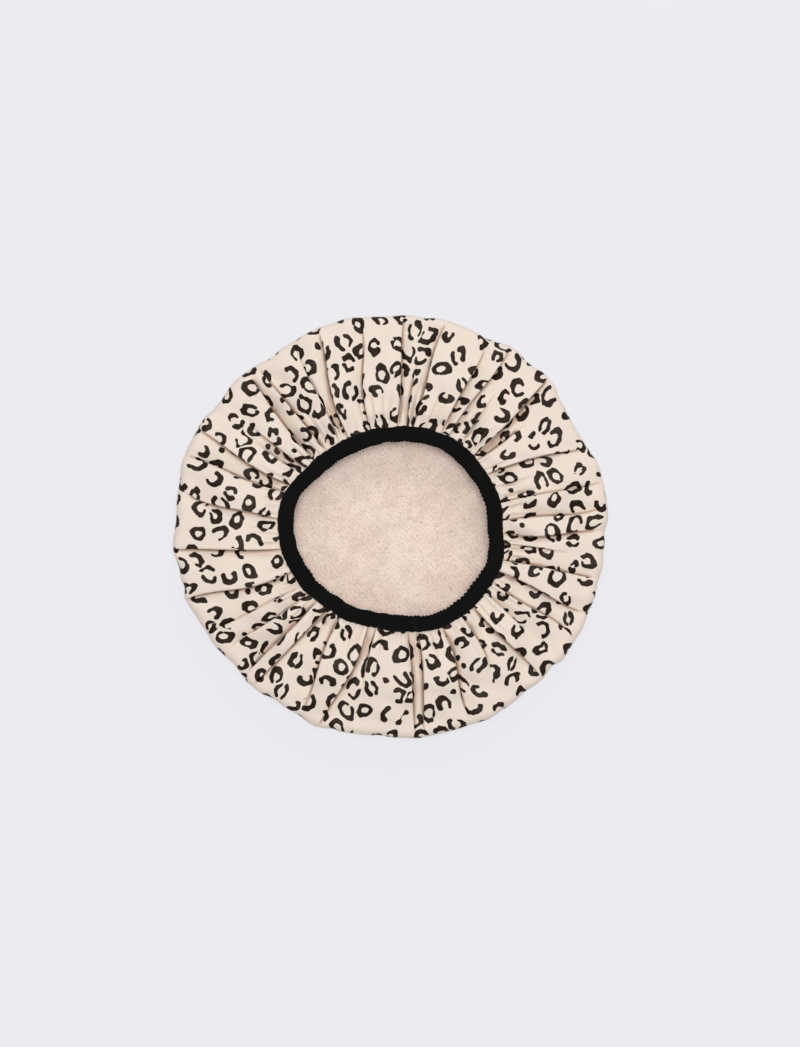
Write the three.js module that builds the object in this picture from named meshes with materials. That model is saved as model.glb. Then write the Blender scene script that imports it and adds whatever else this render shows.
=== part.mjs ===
// A gathered shower cap that lies on its crown with the mouth up: a round waterproof shell and a
// towelling lining, pleated together into a black binding with elastic inside it.
// Millimetres, +Z up, origin on the table under the middle of the crown.
import * as THREE from "three";

// The puffed rim, seen from above: a mean radius, and how far it is oval and three-sided
const RIM_RADIUS = 138.8;
const RIM_OVAL = 1.7;
const RIM_OVAL_ANGLE = -12;
const RIM_LOBE = 1.0;
const RIM_LOBE_ANGLE = -60;

// The rim's roll and the gathered top, seen from the side
const ROLL_REACH = 13;
const ROLL_HEIGHT = 18;
const SHOULDER_RISE = 4.5;
const NECK_LENGTH = 4;
const LIP_CLEARANCE = 0.6;

// The inner edge of the mouth, seen from above
const MOUTH_RADIUS = 60.5;
const MOUTH_SHIFT = 2.4;
const MOUTH_SHIFT_ANGLE = -30;
const MOUTH_OVAL = 3.6;
const MOUTH_OVAL_ANGLE = -5;
const MOUTH_LOBE = 1.9;
const MOUTH_LOBE_ANGLE = -55;
const MOUTH_RISE = 3.2; // from the top of the roll to the cloth that the binding holds

// Pleats: each ends in a steep tuck that runs straight from the rim to the mouth. In order round the
// cap: the angle where the tuck leaves the rim, the angle where it meets the mouth, and 1 where the
// cloth before it lies on top or -1 where the cloth after it does.
const PLEAT_RELIEF = 3;
const TUCK_ANGLE = 1.8;
const PLEATS = [
  [5.8, 3.5, 1],
  [12, 12.5, 1],
  [21.5, 29, -1],
  [43.6, 41, -1],
  [56.8, 57.5, -1],
  [63, 62, -1],
  [74, 77, 1],
  [86.5, 86.2, -1],
  [98.3, 101.5, 1],
  [110, 115, 1],
  [117, 121, -1],
  [129.8, 130.3, -1],
  [132, 138.5, -1],
  [152.5, 157, 1],
  [161, 161.5, -1],
  [168.5, 175.5, 1],
  [184.5, 191, 1],
  [197.5, 204, 1],
  [209, 213.5, -1],
  [217.5, 218.5, -1],
  [225.7, 225.2, -1],
  [228.5, 232, 1],
  [244.5, 240.5, -1],
  [249.6, 257, 1],
  [276.6, 279, 1],
  [279, 285, -1],
  [293.3, 297, 1],
  [313.8, 316.5, -1],
  [328.5, 331.5, 1],
  [336.6, 338, -1],
  [346.2, 343.5, 1],
  [359.3, 357.3, -1],
];

// Thicknesses
const SHELL_THICKNESS = 0.4;
const LINING_THICKNESS = 1.8;
const LINING_EDGE = 0.9; // where the binding presses it
const TAPE_THICKNESS = 0.5;
const ELASTIC_THICKNESS = 0.7;
const THREAD_DIAMETER = 0.4;
const LAYER_CLEARANCE = 0.4; // between shell and lining
const CLEARANCE = 0.3; // between all other layers

// Along the mouth band
const ELASTIC_WIDTH = 6;
const ELASTIC_END_GAP = 0.4;
const ELASTIC_JOIN_ANGLE = 92;
const TAPE_MARGIN = 1.6; // of tape outside the elastic, which takes the stitches
const EDGE_CLEARANCE = 0.5; // from the cut edges of the cloth to the fold of the tape
const TAPE_JOIN_ANGLE = -81;
const TAPE_LAP = 9;
const TAPE_LAP_RAMP = 5;
const TACK_STROKES = 6;
const ELASTIC_TACK_REACH = 3; // to each side of the butted ends
const TAPE_TACK_REACH = 1.3;

// Facets
const BAND_STEPS = 72;
const FOLD_STEPS = 6;
const LAP_STEPS = 4;
const THREAD_SIDES = 6;
const TACK_STEPS_PER_STROKE = 12;

// The stack inside the folded tape, from its underside up
const THREAD_RADIUS = THREAD_DIAMETER / 2;
const ELASTIC_BOTTOM = TAPE_THICKNESS + CLEARANCE;
const ELASTIC_TOP = ELASTIC_BOTTOM + ELASTIC_THICKNESS;
const LINING_BOTTOM = ELASTIC_TOP + CLEARANCE + THREAD_DIAMETER + CLEARANCE;
const SHELL_BOTTOM = LINING_BOTTOM + LINING_EDGE + LAYER_CLEARANCE;
const SHELL_TOP = SHELL_BOTTOM + SHELL_THICKNESS;
const BAND_THICKNESS = SHELL_TOP + CLEARANCE + TAPE_THICKNESS;
const FOLD_RADIUS = BAND_THICKNESS / 2;
const ELASTIC_OUTER = FOLD_RADIUS + ELASTIC_WIDTH;
const BAND_WIDTH = ELASTIC_OUTER + TAPE_MARGIN;
const STITCH_LINE = ELASTIC_OUTER + TAPE_MARGIN / 2;
const LAP_GROWTH = TAPE_THICKNESS + CLEARANCE;

// Heights over the table: the cloth in the binding, and the underside of the binding
const SLOT_HEIGHT = ROLL_HEIGHT + MOUTH_RISE;
const MOUTH_HEIGHT = SLOT_HEIGHT - SHELL_TOP;

const FULL_TURN = 2 * Math.PI;
const radians = THREE.MathUtils.degToRad;

function wave(angle, count, peak) {
  return Math.cos(count * (angle - radians(peak)));
}

function rimRadius(angle) {
  const oval = RIM_OVAL * wave(angle, 2, RIM_OVAL_ANGLE);
  return RIM_RADIUS + oval + RIM_LOBE * wave(angle, 3, RIM_LOBE_ANGLE);
}

function mouthRadius(angle) {
  const shift = MOUTH_SHIFT * wave(angle, 1, MOUTH_SHIFT_ANGLE);
  const oval = MOUTH_OVAL * wave(angle, 2, MOUTH_OVAL_ANGLE);
  return MOUTH_RADIUS + shift + oval + MOUTH_LOBE * wave(angle, 3, MOUTH_LOBE_ANGLE);
}

function polar(angle, radius, height) {
  return new THREE.Vector3(radius * Math.cos(angle), radius * Math.sin(angle), height);
}

function signedVolume(points, faces) {
  const parts = faces.map(([a, b, c]) => points[a].dot(points[b].clone().cross(points[c])) / 6);
  return parts.reduce((total, part) => total + part, 0);
}

// A closed solid through a row of point rings. Given a way to lay a ring flat, where the ring runs
// anticlockwise, both ends are capped; otherwise the last ring joins the first. From the ring numbered
// turnAt on, the four-sided faces are split along their other diagonal.
function loft(rings, layFlat, turnAt = rings.length) {
  const size = rings[0].length;
  const points = rings.flat();
  const faces = [];
  const strips = layFlat ? rings.length - 1 : rings.length;
  for (let i = 0; i < strips; i += 1) {
    const here = i * size;
    const next = ((i + 1) % rings.length) * size;
    for (let j = 0; j < size; j += 1) {
      const k = (j + 1) % size;
      if (i < turnAt) {
        faces.push([here + j, here + k, next + k], [here + j, next + k, next + j]);
      } else {
        faces.push([here + j, here + k, next + j], [here + k, next + k, next + j]);
      }
    }
  }
  if (layFlat) {
    const last = points.length - size;
    const cap = (ring) => THREE.ShapeUtils.triangulateShape(ring.map(layFlat), []);
    cap(rings[0]).forEach(([a, b, c]) => faces.push([a, c, b]));
    cap(rings.at(-1)).forEach((face) => faces.push(face.map((corner) => last + corner)));
  }
  if (signedVolume(points, faces) < 0) {
    faces.forEach((face) => face.reverse());
  }
  const geometry = new THREE.BufferGeometry().setFromPoints(points);
  geometry.setIndex(faces.flat());
  geometry.computeVertexNormals();
  return geometry;
}

function mesh(name, geometry, color, roughness) {
  const piece = new THREE.Mesh(geometry, new THREE.MeshStandardMaterial({ color, roughness, metalness: 0 }));
  piece.name = name;
  return piece;
}

// The gathered cloth

// Two points for each pleat on a line around the cap, at the two sides of its tuck: the raised fold on
// the side that lies on top, and the sunk root on the other. The run is 0 at the rim and 1 at the mouth.
function tuckSides(run) {
  return PLEATS.flatMap(([atRim, atMouth, lean]) => {
    const middle = THREE.MathUtils.lerp(atRim, atMouth, run);
    return [
      { angle: radians(middle - TUCK_ANGLE / 2), side: lean },
      { angle: radians(middle + TUCK_ANGLE / 2), side: -lean },
    ];
  });
}

// One line of the cloth's outer face around the cap: where it lies at an angle, which way it faces
// (degrees up from outwards), how far it has run from rim to mouth and its share of the relief.
function rollRow(facing, run, relief) {
  const up = Math.sin(radians(facing));
  const out = Math.cos(radians(facing));
  const place = (angle) => ({
    radius: rimRadius(angle) - ROLL_REACH * (1 - out),
    height: (ROLL_HEIGHT / 2) * (1 + up),
  });
  return { place, up, out, run, relief, pressed: false };
}

function topRow(place, run, relief, pressed) {
  return { place, up: 1, out: 0, run, relief, pressed };
}

function lipRadius(angle) {
  return mouthRadius(angle) + BAND_WIDTH;
}

function shoulder(angle) {
  const flat = rimRadius(angle) - ROLL_REACH;
  return { radius: (flat + lipRadius(angle)) / 2, height: ROLL_HEIGHT + SHOULDER_RISE };
}

function neck(angle) {
  const height = (SLOT_HEIGHT + ROLL_HEIGHT + SHOULDER_RISE) / 2;
  return { radius: lipRadius(angle) + NECK_LENGTH, height };
}

function lip(angle) {
  return { radius: lipRadius(angle) + LIP_CLEARANCE, height: SLOT_HEIGHT };
}

function cutEdge(angle) {
  return { radius: mouthRadius(angle) + FOLD_RADIUS + EDGE_CLEARANCE, height: SLOT_HEIGHT };
}

const CLOTH_ROWS = [
  rollRow(-90, 0, 0),
  rollRow(-45, 0, 0.05),
  rollRow(0, 0, 0.25),
  rollRow(45, 0.1, 0.6),
  rollRow(90, 0.3, 0.9),
  topRow(shoulder, 0.65, 1, false),
  topRow(neck, 0.95, 0.8, false),
  topRow(lip, 1, 0, true),
  topRow(cutEdge, 1, 0, true),
];

function clothRing(row, depth) {
  return tuckSides(row.run).map(({ angle, side }) => {
    const { radius, height } = row.place(angle);
    const proud = PLEAT_RELIEF * row.relief * side - depth;
    return polar(angle, radius + proud * row.out, height + proud * row.up);
  });
}

// A layer of the cloth between two depths under the outer face, cut as one disc. Both its faces fold
// along the same lines, so that the layers nest.
function gatheredLayer(outerDepth, thickness, pressedThickness) {
  const outer = CLOTH_ROWS.map((row) => clothRing(row, outerDepth));
  const inner = CLOTH_ROWS.map((row) => {
    return clothRing(row, outerDepth + (row.pressed ? pressedThickness : thickness));
  });
  const layFlat = (point) => new THREE.Vector2(point.x, point.y);
  return loft([...outer, ...inner.reverse()], layFlat, outer.length);
}

function outerShell() {
  const geometry = gatheredLayer(0, SHELL_THICKNESS, SHELL_THICKNESS);
  return mesh("outer_shell", geometry, 0xebddcf, 0.45);
}

function lining() {
  const geometry = gatheredLayer(SHELL_THICKNESS + LAYER_CLEARANCE, LINING_THICKNESS, LINING_EDGE);
  return mesh("lining", geometry, 0xe9d5c8, 1);
}

// The mouth band. Its sections are drawn in (across, up): across from the inner edge of the mouth
// outwards, and up from the underside of the tape.

function bandPoint(angle, across, up) {
  return polar(angle, mouthRadius(angle) + across, up);
}

function sectionFlat(point) {
  return new THREE.Vector2(Math.hypot(point.x, point.y), point.z);
}

function turnOf(length, joinAngle) {
  return length / mouthRadius(joinAngle);
}

function stationsBetween(start, end, count) {
  return Array.from({ length: count + 1 }, (_, i) => THREE.MathUtils.lerp(start, end, i / count));
}

function elastic() {
  const join = radians(ELASTIC_JOIN_ANGLE);
  const halfGap = turnOf(ELASTIC_END_GAP, join) / 2;
  const rings = stationsBetween(join + halfGap, join + FULL_TURN - halfGap, BAND_STEPS).map((angle) => [
    bandPoint(angle, FOLD_RADIUS, ELASTIC_BOTTOM),
    bandPoint(angle, ELASTIC_OUTER, ELASTIC_BOTTOM),
    bandPoint(angle, ELASTIC_OUTER, ELASTIC_TOP),
    bandPoint(angle, FOLD_RADIUS, ELASTIC_TOP),
  ]);
  return mesh("elastic", loft(rings, sectionFlat), 0x242424, 0.8);
}

// The tape folded over the cut edges, open outwards. Where its end laps over its start, the fold grows.
function tapeSection(angle, growth) {
  const arc = (radius, from, to) =>
    stationsBetween(radians(from), radians(to), FOLD_STEPS).map((turn) => {
      const across = FOLD_RADIUS + radius * Math.cos(turn);
      return bandPoint(angle, across, FOLD_RADIUS + radius * Math.sin(turn));
    });
  const outside = FOLD_RADIUS + growth;
  const inside = outside - TAPE_THICKNESS;
  return [
    bandPoint(angle, BAND_WIDTH, FOLD_RADIUS + inside),
    bandPoint(angle, BAND_WIDTH, FOLD_RADIUS + outside),
    ...arc(outside, 90, 270),
    bandPoint(angle, BAND_WIDTH, FOLD_RADIUS - outside),
    bandPoint(angle, BAND_WIDTH, FOLD_RADIUS - inside),
    ...arc(inside, 270, 90),
  ];
}

const tapeJoin = radians(TAPE_JOIN_ANGLE);
const lapTurn = turnOf(TAPE_LAP, tapeJoin);
const rampTurn = turnOf(TAPE_LAP_RAMP, tapeJoin);

function binding() {
  const single = stationsBetween(tapeJoin, tapeJoin + FULL_TURN - 2 * rampTurn, BAND_STEPS);
  const lapEnd = tapeJoin + FULL_TURN + lapTurn;
  const lapped = stationsBetween(tapeJoin + FULL_TURN - rampTurn, lapEnd, LAP_STEPS);
  const rings = [
    ...single.map((angle) => tapeSection(angle, 0)),
    ...lapped.map((angle) => tapeSection(angle, LAP_GROWTH)),
  ];
  return mesh("binding", loft(rings, sectionFlat), 0x141414, 0.85);
}

// A row of stitches, one thread all round, that climbs over the lap of the tape
function stitchRow(name, levelOver) {
  const overLap = stationsBetween(tapeJoin - rampTurn, tapeJoin + lapTurn + rampTurn, LAP_STEPS);
  const afterLap = tapeJoin + lapTurn + 2 * rampTurn;
  const single = stationsBetween(afterLap, tapeJoin + FULL_TURN - 2 * rampTurn, BAND_STEPS);
  const ring = (angle, growth) =>
    stationsBetween(0, FULL_TURN, THREAD_SIDES)
      .slice(1)
      .map((turn) => {
        const across = STITCH_LINE + THREAD_RADIUS * Math.cos(turn);
        return bandPoint(angle, across, levelOver(growth) + THREAD_RADIUS * Math.sin(turn));
      });
  const rings = [
    ...overLap.map((angle) => ring(angle, LAP_GROWTH)),
    ...single.map((angle) => ring(angle, 0)),
  ];
  return mesh(name, loft(rings), 0x101010, 0.7);
}

function needleThread() {
  return stitchRow("needle_thread", (growth) => BAND_THICKNESS + growth + CLEARANCE + THREAD_RADIUS);
}

function bobbinThread() {
  return stitchRow("bobbin_thread", (growth) => -(growth + CLEARANCE + THREAD_RADIUS));
}

// A thread that runs to and fro over a join, in strokes along the band with round turns between them
function joinTack(name, joinAngle, from, to, reach, level) {
  const spacing = (to - from) / (TACK_STROKES - 1);
  const stroke = (_, i) => {
    const side = i % 2 ? -reach : reach;
    const across = from + i * spacing;
    const turn = [side + (Math.sign(side) * spacing) / 2, across + spacing / 2];
    return [[-side, across], [side, across], turn];
  };
  const strokes = Array.from({ length: TACK_STROKES }, stroke).flat().slice(0, -1);
  const points = strokes.map(([along, across]) => {
    return bandPoint(joinAngle + turnOf(along, joinAngle), across, level);
  });
  const path = new THREE.CatmullRomCurve3(points);
  const round = new THREE.EllipseCurve(0, 0, THREAD_RADIUS, THREAD_RADIUS);
  const section = new THREE.Shape(round.getPoints(THREAD_SIDES).slice(1));
  const steps = TACK_STROKES * TACK_STEPS_PER_STROKE;
  const geometry = new THREE.ExtrudeGeometry(section, { extrudePath: path, steps });
  return mesh(name, geometry, 0x101010, 0.7);
}

function elasticTack() {
  const level = ELASTIC_TOP + CLEARANCE + THREAD_RADIUS;
  const from = FOLD_RADIUS + THREAD_DIAMETER;
  const to = ELASTIC_OUTER - THREAD_DIAMETER;
  return joinTack("elastic_tack", radians(ELASTIC_JOIN_ANGLE), from, to, ELASTIC_TACK_REACH, level);
}

function bindingJoinTack() {
  const level = BAND_THICKNESS + LAP_GROWTH + CLEARANCE + THREAD_RADIUS;
  const middle = tapeJoin + lapTurn / 2;
  const to = ELASTIC_OUTER - THREAD_DIAMETER;
  return joinTack("binding_join_tack", middle, FOLD_RADIUS, to, TAPE_TACK_REACH, level);
}

const crown = new THREE.Group();
crown.add(outerShell(), lining());

const mouthBand = new THREE.Group();
mouthBand.add(elastic(), elasticTack(), binding(), bindingJoinTack(), needleThread(), bobbinThread());
mouthBand.position.z = MOUTH_HEIGHT;

const showerCap = new THREE.Group();
showerCap.add(crown, mouthBand);

export default showerCap;
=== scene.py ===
import math
from functools import partial

import bpy
import numpy as np
from mathutils import Matrix, Vector


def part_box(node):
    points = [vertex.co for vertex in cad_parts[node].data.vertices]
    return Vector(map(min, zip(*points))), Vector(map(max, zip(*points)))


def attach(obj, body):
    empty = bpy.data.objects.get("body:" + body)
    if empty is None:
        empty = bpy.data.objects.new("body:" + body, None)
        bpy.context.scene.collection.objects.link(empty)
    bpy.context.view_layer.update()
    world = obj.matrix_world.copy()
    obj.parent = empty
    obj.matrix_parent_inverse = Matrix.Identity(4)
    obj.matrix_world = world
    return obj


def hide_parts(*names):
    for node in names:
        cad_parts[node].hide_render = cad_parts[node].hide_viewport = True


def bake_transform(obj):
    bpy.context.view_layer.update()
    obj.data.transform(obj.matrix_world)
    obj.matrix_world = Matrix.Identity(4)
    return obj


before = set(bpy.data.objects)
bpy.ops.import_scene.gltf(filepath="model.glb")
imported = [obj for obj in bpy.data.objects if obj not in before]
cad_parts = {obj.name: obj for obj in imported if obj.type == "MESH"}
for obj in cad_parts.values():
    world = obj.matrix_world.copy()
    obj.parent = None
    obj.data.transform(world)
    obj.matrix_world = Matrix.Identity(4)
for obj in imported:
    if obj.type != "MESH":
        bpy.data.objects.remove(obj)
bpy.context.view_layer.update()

bl_info = {
    "name": "Gathered shower cap",
    "version": (1, 0, 0),
    "blender": (4, 5, 0),
    "location": "3D View > Sidebar > Shower cap",
    "description": "Dresses a lined shower cap that lies on its crown: cloth, lining, binding and thread",
    "category": "Object",
}

# Lengths are in metres, and angles that are written out are in degrees unless a comment says otherwise.
# A run is a share of the way over the gathered top, from 0 at the rim to 1 at the binding.
TURN = 2 * math.pi

# The rim's roll and the gathered top, seen from the side. The roll reaches in by OVER_REACH above its
# widest line and by UNDER_REACH below it.
RIM_RADIUS = 0.1388
RIM_LEVEL = 0.0128
ROLL_HEIGHT = 0.018
OVER_REACH = 0.0048
UNDER_REACH = 0.0135
TOP_BULGE = 0.0029

# Each row of the next tables is one soft swell round the cap: its angle, its size and its half width in
# degrees.

# How far the rim stands out from the straight runs between its corners, or sags in
RIM_SWELLS = (
    (3, 0.001, 6), (9, -0.0009, 2), (18, 0.0003, 4), (30, -0.0021, 6),
    (41, 0.0006, 2), (49, -0.0017, 3), (60, -0.0013, 2), (68, -0.0005, 4),
    (82, -0.0011, 4), (90, -0.0019, 4), (94, -0.0006, 2), (101, 0.0014, 3),
    (109, 0.0006, 3), (125, -0.0023, 3), (138, 0.001, 4), (156, -0.001, 4),
    (166, -0.0007, 2), (178, -0.0017, 5), (191, -0.0028, 3), (196, -0.0024, 2),
    (204, -0.0016, 3), (221, -0.0026, 3), (232, 0.0006, 2), (236, -0.0015, 3),
    (254, -0.0015, 2), (259, 0.0013, 4), (267, -0.0006, 2), (300, 0.0025, 5),
    (305, 0.0008, 3), (310, -0.0008, 2), (319, -0.0018, 2), (322, 0.0016, 2),
    (332, 0.0004, 3), (344, -0.0005, 2), (352, 0.0008, 5), (358, -0.0006, 2),
)

# How far the gathers push the mouth out into a soft corner, or let it in
MOUTH_CORNERS = (
    (2, -0.0006, 5), (18, 0.0008, 8), (55, 0.0011, 8), (130, -0.0006, 8),
    (144, -0.0014, 7), (165, 0.001, 10), (198, -0.0007, 12), (245, 0.0012, 11),
    (295, 0.0011, 8), (342, 0.0014, 9),
)

# How strongly the elastic draws the fold of the tape into scallops, over the least strength
SCALLOPS = (
    (20, 0.5, 22), (88, 0.4, 14), (136, 0.6, 16), (215, 0.6, 18), (318, 1.0, 34),
)

# How far the fold of the tape moves outwards, or inwards where the size is below 0
FOLD_SWELLS = (
    (45, -0.0007, 3), (103, -0.0004, 5), (115, -0.0008, 3), (125, -0.0005, 3),
    (135.5, -0.0005, 3), (189, -0.0008, 6), (208, -0.001, 5), (266, -0.0006, 4),
    (327, -0.0005, 4),
)

# How deep a faint crease across the tape is
CREASE_ANGLES = (89, 114, 212, 338, 343)
CREASE_DEPTH = 0.0004
CREASE_WIDTH = 0.45
TAPE_CREASES = [(angle, CREASE_DEPTH, CREASE_WIDTH) for angle in CREASE_ANGLES]

# The inner edge of the mouth, seen from above: a circle with a shift, an oval and a three-sided swell
MOUTH_RADIUS = 0.0595
MOUTH_SHIFT, MOUTH_SHIFT_ANGLE = 0.0024, -30
MOUTH_OVAL, MOUTH_OVAL_ANGLE = 0.0036, -5
MOUTH_LOBE, MOUTH_LOBE_ANGLE = 0.0019, -55

# The folded tape, and where the layers lie in it, over its underside
TAPE_THICKNESS = 0.0005
BAND_THICKNESS = 0.005
BAND_WIDTH = 0.0101
BAND_MIDDLE = MOUTH_RADIUS + BAND_WIDTH / 2
FOLD_RADIUS = BAND_THICKNESS / 2
ELASTIC_SEAT = 0.0008
SHELL_SEAT = 0.0042
LINING_SEAT = 0.00155
LAYER_CLEARANCE = 0.0002
EDGE_CLEARANCE = 0.0005
LAP_GROWTH = 0.0008
TAPE_JOIN_ANGLE = -81
TAPE_LAP = 0.009
TAPE_LAP_RAMP = 0.005
BAND_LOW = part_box("elastic")[0].z - ELASTIC_SEAT
BAND_TOP = BAND_LOW + BAND_THICKNESS
SLOT_HEIGHT = BAND_LOW + SHELL_SEAT

# Points along the tape, and on the straight and bent stretches of its section
TAPE_COLUMNS = 960
STRAIGHT_POINTS = 9
BEND_POINTS = 13

# Ripples round the tape: scallops, and waves with a seed, the fewest and the most to the turn
SCALLOP_COUNT = 150
SCALLOP_LEAST = 0.25
SCALLOP_SHIFT = 2
SHIFT_WAVES = (31, 3, 12)
FINE_EDGE_WAVES = (33, 60, 110)
SLOW_EDGE_WAVES = (34, 10, 30)
FOLD_WAVES = (35, 10, 34)
PUCKER_WAVES = (36, 60, 120)

# How strongly the first and the second of two ripples show at the outer edge, at the fold and on the
# faces. The faces lift by FACE_LIFT of the ripple, and by FACE_LEAST of that next to the fold.
EDGE_MIX = (0.3, 0.7)
FOLD_MIX = (1.3, 0.7)
FACE_MIX = (0.8, 0.4)
FACE_LIFT = 0.5
FACE_LEAST = 0.35

# Thread: the row of stitches near the outer edge of the tape, and the slanting stitches over its lap. The
# pitch is in stitch lengths, the arch in thread thicknesses and the slant in radians.
THREAD_THICKNESS = 0.0004
STITCH_INSET = 0.0008
STITCH_PITCH = 1.2
STITCH_ARCH = 0.25
TACK_STITCHES = 10
TACK_STEP = 0.0006
TACK_SLANT = 0.12

# Pleats that run from the rim to the mouth, in order round the cap: the angle where the fold leaves the
# rim, the angle where it meets the mouth, 1 where the cloth before it lies on top or -1 where the cloth
# after it does, the radius of the rim at the fold, which is a corner of its outline, and the strength,
# which says how high and deep the fold is and how far it closes.
LONG_PLEATS = (
    (5.8, 3.5, 1, 0.141, 0.8),
    (12, 12.5, 1, 0.1418, 0.75),
    (21.5, 29, -1, 0.1385, 0.95),
    (43.6, 41, -1, 0.1416, 1.4),
    (56.8, 57.5, -1, 0.1413, 0.8),
    (63, 62, -1, 0.138, 0.8),
    (74, 77, 1, 0.1395, 1.0),
    (86.5, 86.2, -1, 0.1395, 0.9),
    (98.3, 101.5, 1, 0.1375, 0.8),
    (110, 115, 1, 0.1373, 1.1),
    (117, 121, -1, 0.1363, 0.7),
    (129.8, 130.3, -1, 0.1371, 1.0),
    (132, 138.5, -1, 0.1376, 1.0),
    (152.5, 157, 1, 0.1413, 1.0),
    (161, 161.5, -1, 0.1421, 0.8),
    (168.5, 175.5, 1, 0.1404, 0.8),
    (185.5, 191, 1, 0.1426, 1.0),
    (199.3, 204, 1, 0.142, 1.0),
    (209, 213.5, -1, 0.1378, 0.65),
    (217, 218.5, -1, 0.1371, 0.7),
    (225.7, 225.2, -1, 0.1367, 1.3),
    (228.5, 232, 1, 0.1372, 0.9),
    (244.5, 240.5, -1, 0.1359, 1.0),
    (249.6, 257, 1, 0.1384, 1.0),
    (276.6, 279, 1, 0.1382, 1.1),
    (279, 285, -1, 0.1379, 1.0),
    (293.3, 297, 1, 0.1383, 1.2),
    (315, 316.5, -1, 0.1398, 0.9),
    (328.5, 331.5, 1, 0.1406, 0.8),
    (336.6, 338, -1, 0.1398, 1.0),
    (346.2, 343.5, 1, 0.1396, 0.9),
    (359.3, 357.3, -1, 0.139, 0.9),
)

# Pleats that open on the way in: as above, but with the run where they open in place of the radius
SHORT_PLEATS = (
    (38.5, 37.5, 1, 0.4, 1.0),
    (52, 50, -1, 0.42, 0.7),
    (81, 81, 1, 0.38, 0.8),
    (143, 145, 1, 0.32, 0.8),
    (146, 149, -1, 0.4, 0.7),
    (258.8, 262, -1, 0.42, 0.8),
    (301.5, 308.5, 1, 0.36, 0.8),
    (321.5, 325.5, 1, 0.4, 0.7),
    (353, 351.8, -1, 0.34, 0.6),
)

# The fold of a pleat, across it from the cloth on top to the cloth below. Each point has a fixed place
# before or after the nose of the fold, a further share of the tuck's depth, and its level: 1 on the fold,
# 0 on the cloth below it. The last points before the cloth below form the narrow crevice that shows dark.
FOLD_POINTS = (
    (-0.0016, 0.0, 1.0),
    (-0.0007, 0.0, 1.02),
    (-0.00025, 0.0, 0.92),
    (0.0, 0.0, 0.66),
    (0.00005, 0.0, 0.1),
    (-0.00005, -0.3, -0.38),
    (0.0, -1.0, -0.42),
    (-0.00005, -0.3, -0.56),
    (0.00028, 0.0, -0.5),
    (0.0006, 0.0, -0.15),
    (0.0014, 0.0, 0.0),
)
FOLD_LAST = len(FOLD_POINTS) - 1

# The points between which the cloth is hidden in the tuck, and the step between points where the fold
# isn't formed
TUCK_FROM = 4
TUCK_TO = 8
FOLD_FLAT_STEP = 0.00026

# A fold is whole where it is FOLD_FORMED open, and its step where it is STEP_FORMED open. It strays
# freely where its neighbours are WANDER_ROOM degrees away, and its tuck is no deeper than TUCK_ROOM times
# the width of the cloth on top.
FOLD_FORMED = 0.35
STEP_FORMED = 0.15
WANDER_ROOM = 8
TUCK_ROOM = 0.4

# How far a long pleat is open at the rim: CORNER_OPEN at a corner in line with its neighbours, and more
# where it stands out, within limits. On the rim itself CORNER_SOFT of that is left.
CORNER_OPEN = 0.1
CORNER_OPEN_PER_METRE = 95
CORNER_OPEN_LIMITS = (0.05, 0.34)
CORNER_SOFT = 0.35
CORNER_SOFT_RUN = 0.12

# The run that a pleat takes to open. A short one dents the cloth from DENT_LEAD before it opens until
# DENT_RUN after.
OPENING_RUN = 0.5
DENT_LEAD = 0.2
DENT_RUN = 0.4

# Where pleats end on the underside of the roll, and the run from which the binding presses them flat
UNDER_FADE = -60
PRESSED_FROM = 0.86

# The strength from which a fold closes, how much more closes it in full, and how far it closes at least
CLOSING_FROM = 0.45
CLOSING_SPAN = 0.4
LEAST_CLOSED = 0.4

# Where the cloth is free to swell: off the table, between these angles of the roll, and up to this run
OFF_TABLE = (-50, 30)
HELD_FROM = 0.85

# Small gathers at the binding, drawn between these limits: degrees to the next one, length as a run,
# depth as a share of the greatest, and the widths of the steep and the slack side
GATHER_STEPS = (2.2, 4.6)
GATHER_LENGTHS = (0.14, 0.5)
GATHER_DEPTHS = (0.4, 1.0)
GATHER_STEEP = (0.0003, 0.0006)
GATHER_SLACK = (0.0012, 0.0026)
GATHERS_DRAWN = 200
LAST_GATHER = 358

# A gather is deepest over the last GATHER_FULL of its length. At its start it is wider by GATHER_FLARE
# times its width, and at the binding it loses GATHER_PRESSED of its depth.
GATHER_FULL = 0.25
GATHER_FLARE = 1.2
GATHER_PRESSED = 0.6
GATHER_PRESSED_FROM = 0.9

# The lining under the shell: its gap on the crown and the roll, its further slack on the way in, and the
# run from which it rises into the binding. On the crown its waves are lifted by TOWEL_LIFT times their
# height.
LINING_GAP = 0.0012
LINING_SLACK = 0.0045
LINING_SLACK_RUN = 0.25
LINING_RISE_FROM = 0.9
TOWEL_LIFT = 1.2

# Slow waves in both cloths: a seed, the shortest and the longest. At the rim CALM_RIM of them is left.
SHELL_WAVES = (21, 0.012, 0.036)
TOWEL_WAVES = (41, 0.02, 0.06)
CALM_RIM = 0.25
CALM_RUN = 0.15

# Seeds for how the pleats stray and for the gathers
PLEAT_SEED = 11
GATHER_SEED = 12

# Rows of points from the crown to the cut edge, closer together towards the binding, and the angles of
# columns
UNDER_ROWS = 6
OVER_ROWS = 7
TOP_ROWS = 42
TOP_CROWDING = 1.3
SLOT_SINKS = (0.0015, 0.0045, BAND_WIDTH - FOLD_RADIUS - EDGE_CLEARANCE)
SHELL_COLUMN = 0.4
LINING_COLUMN = 1.2
LEAST_COLUMNS = 4
CROWN_RINGS = 24
CROWN_COLUMNS = 180
SAME_ANGLE = 1e-9

# On the flat cut, the print is true to the surface from TRUE_RUN on. A fold that isn't formed holds the
# cloth on its two sides together, and a short pleat always does by SHORT_HOLD.
TRUE_RUN = 0.3
FOLD_HOLD = 3
SHORT_HOLD = 3
HOLD_SOFTNESS = 0.02

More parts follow.
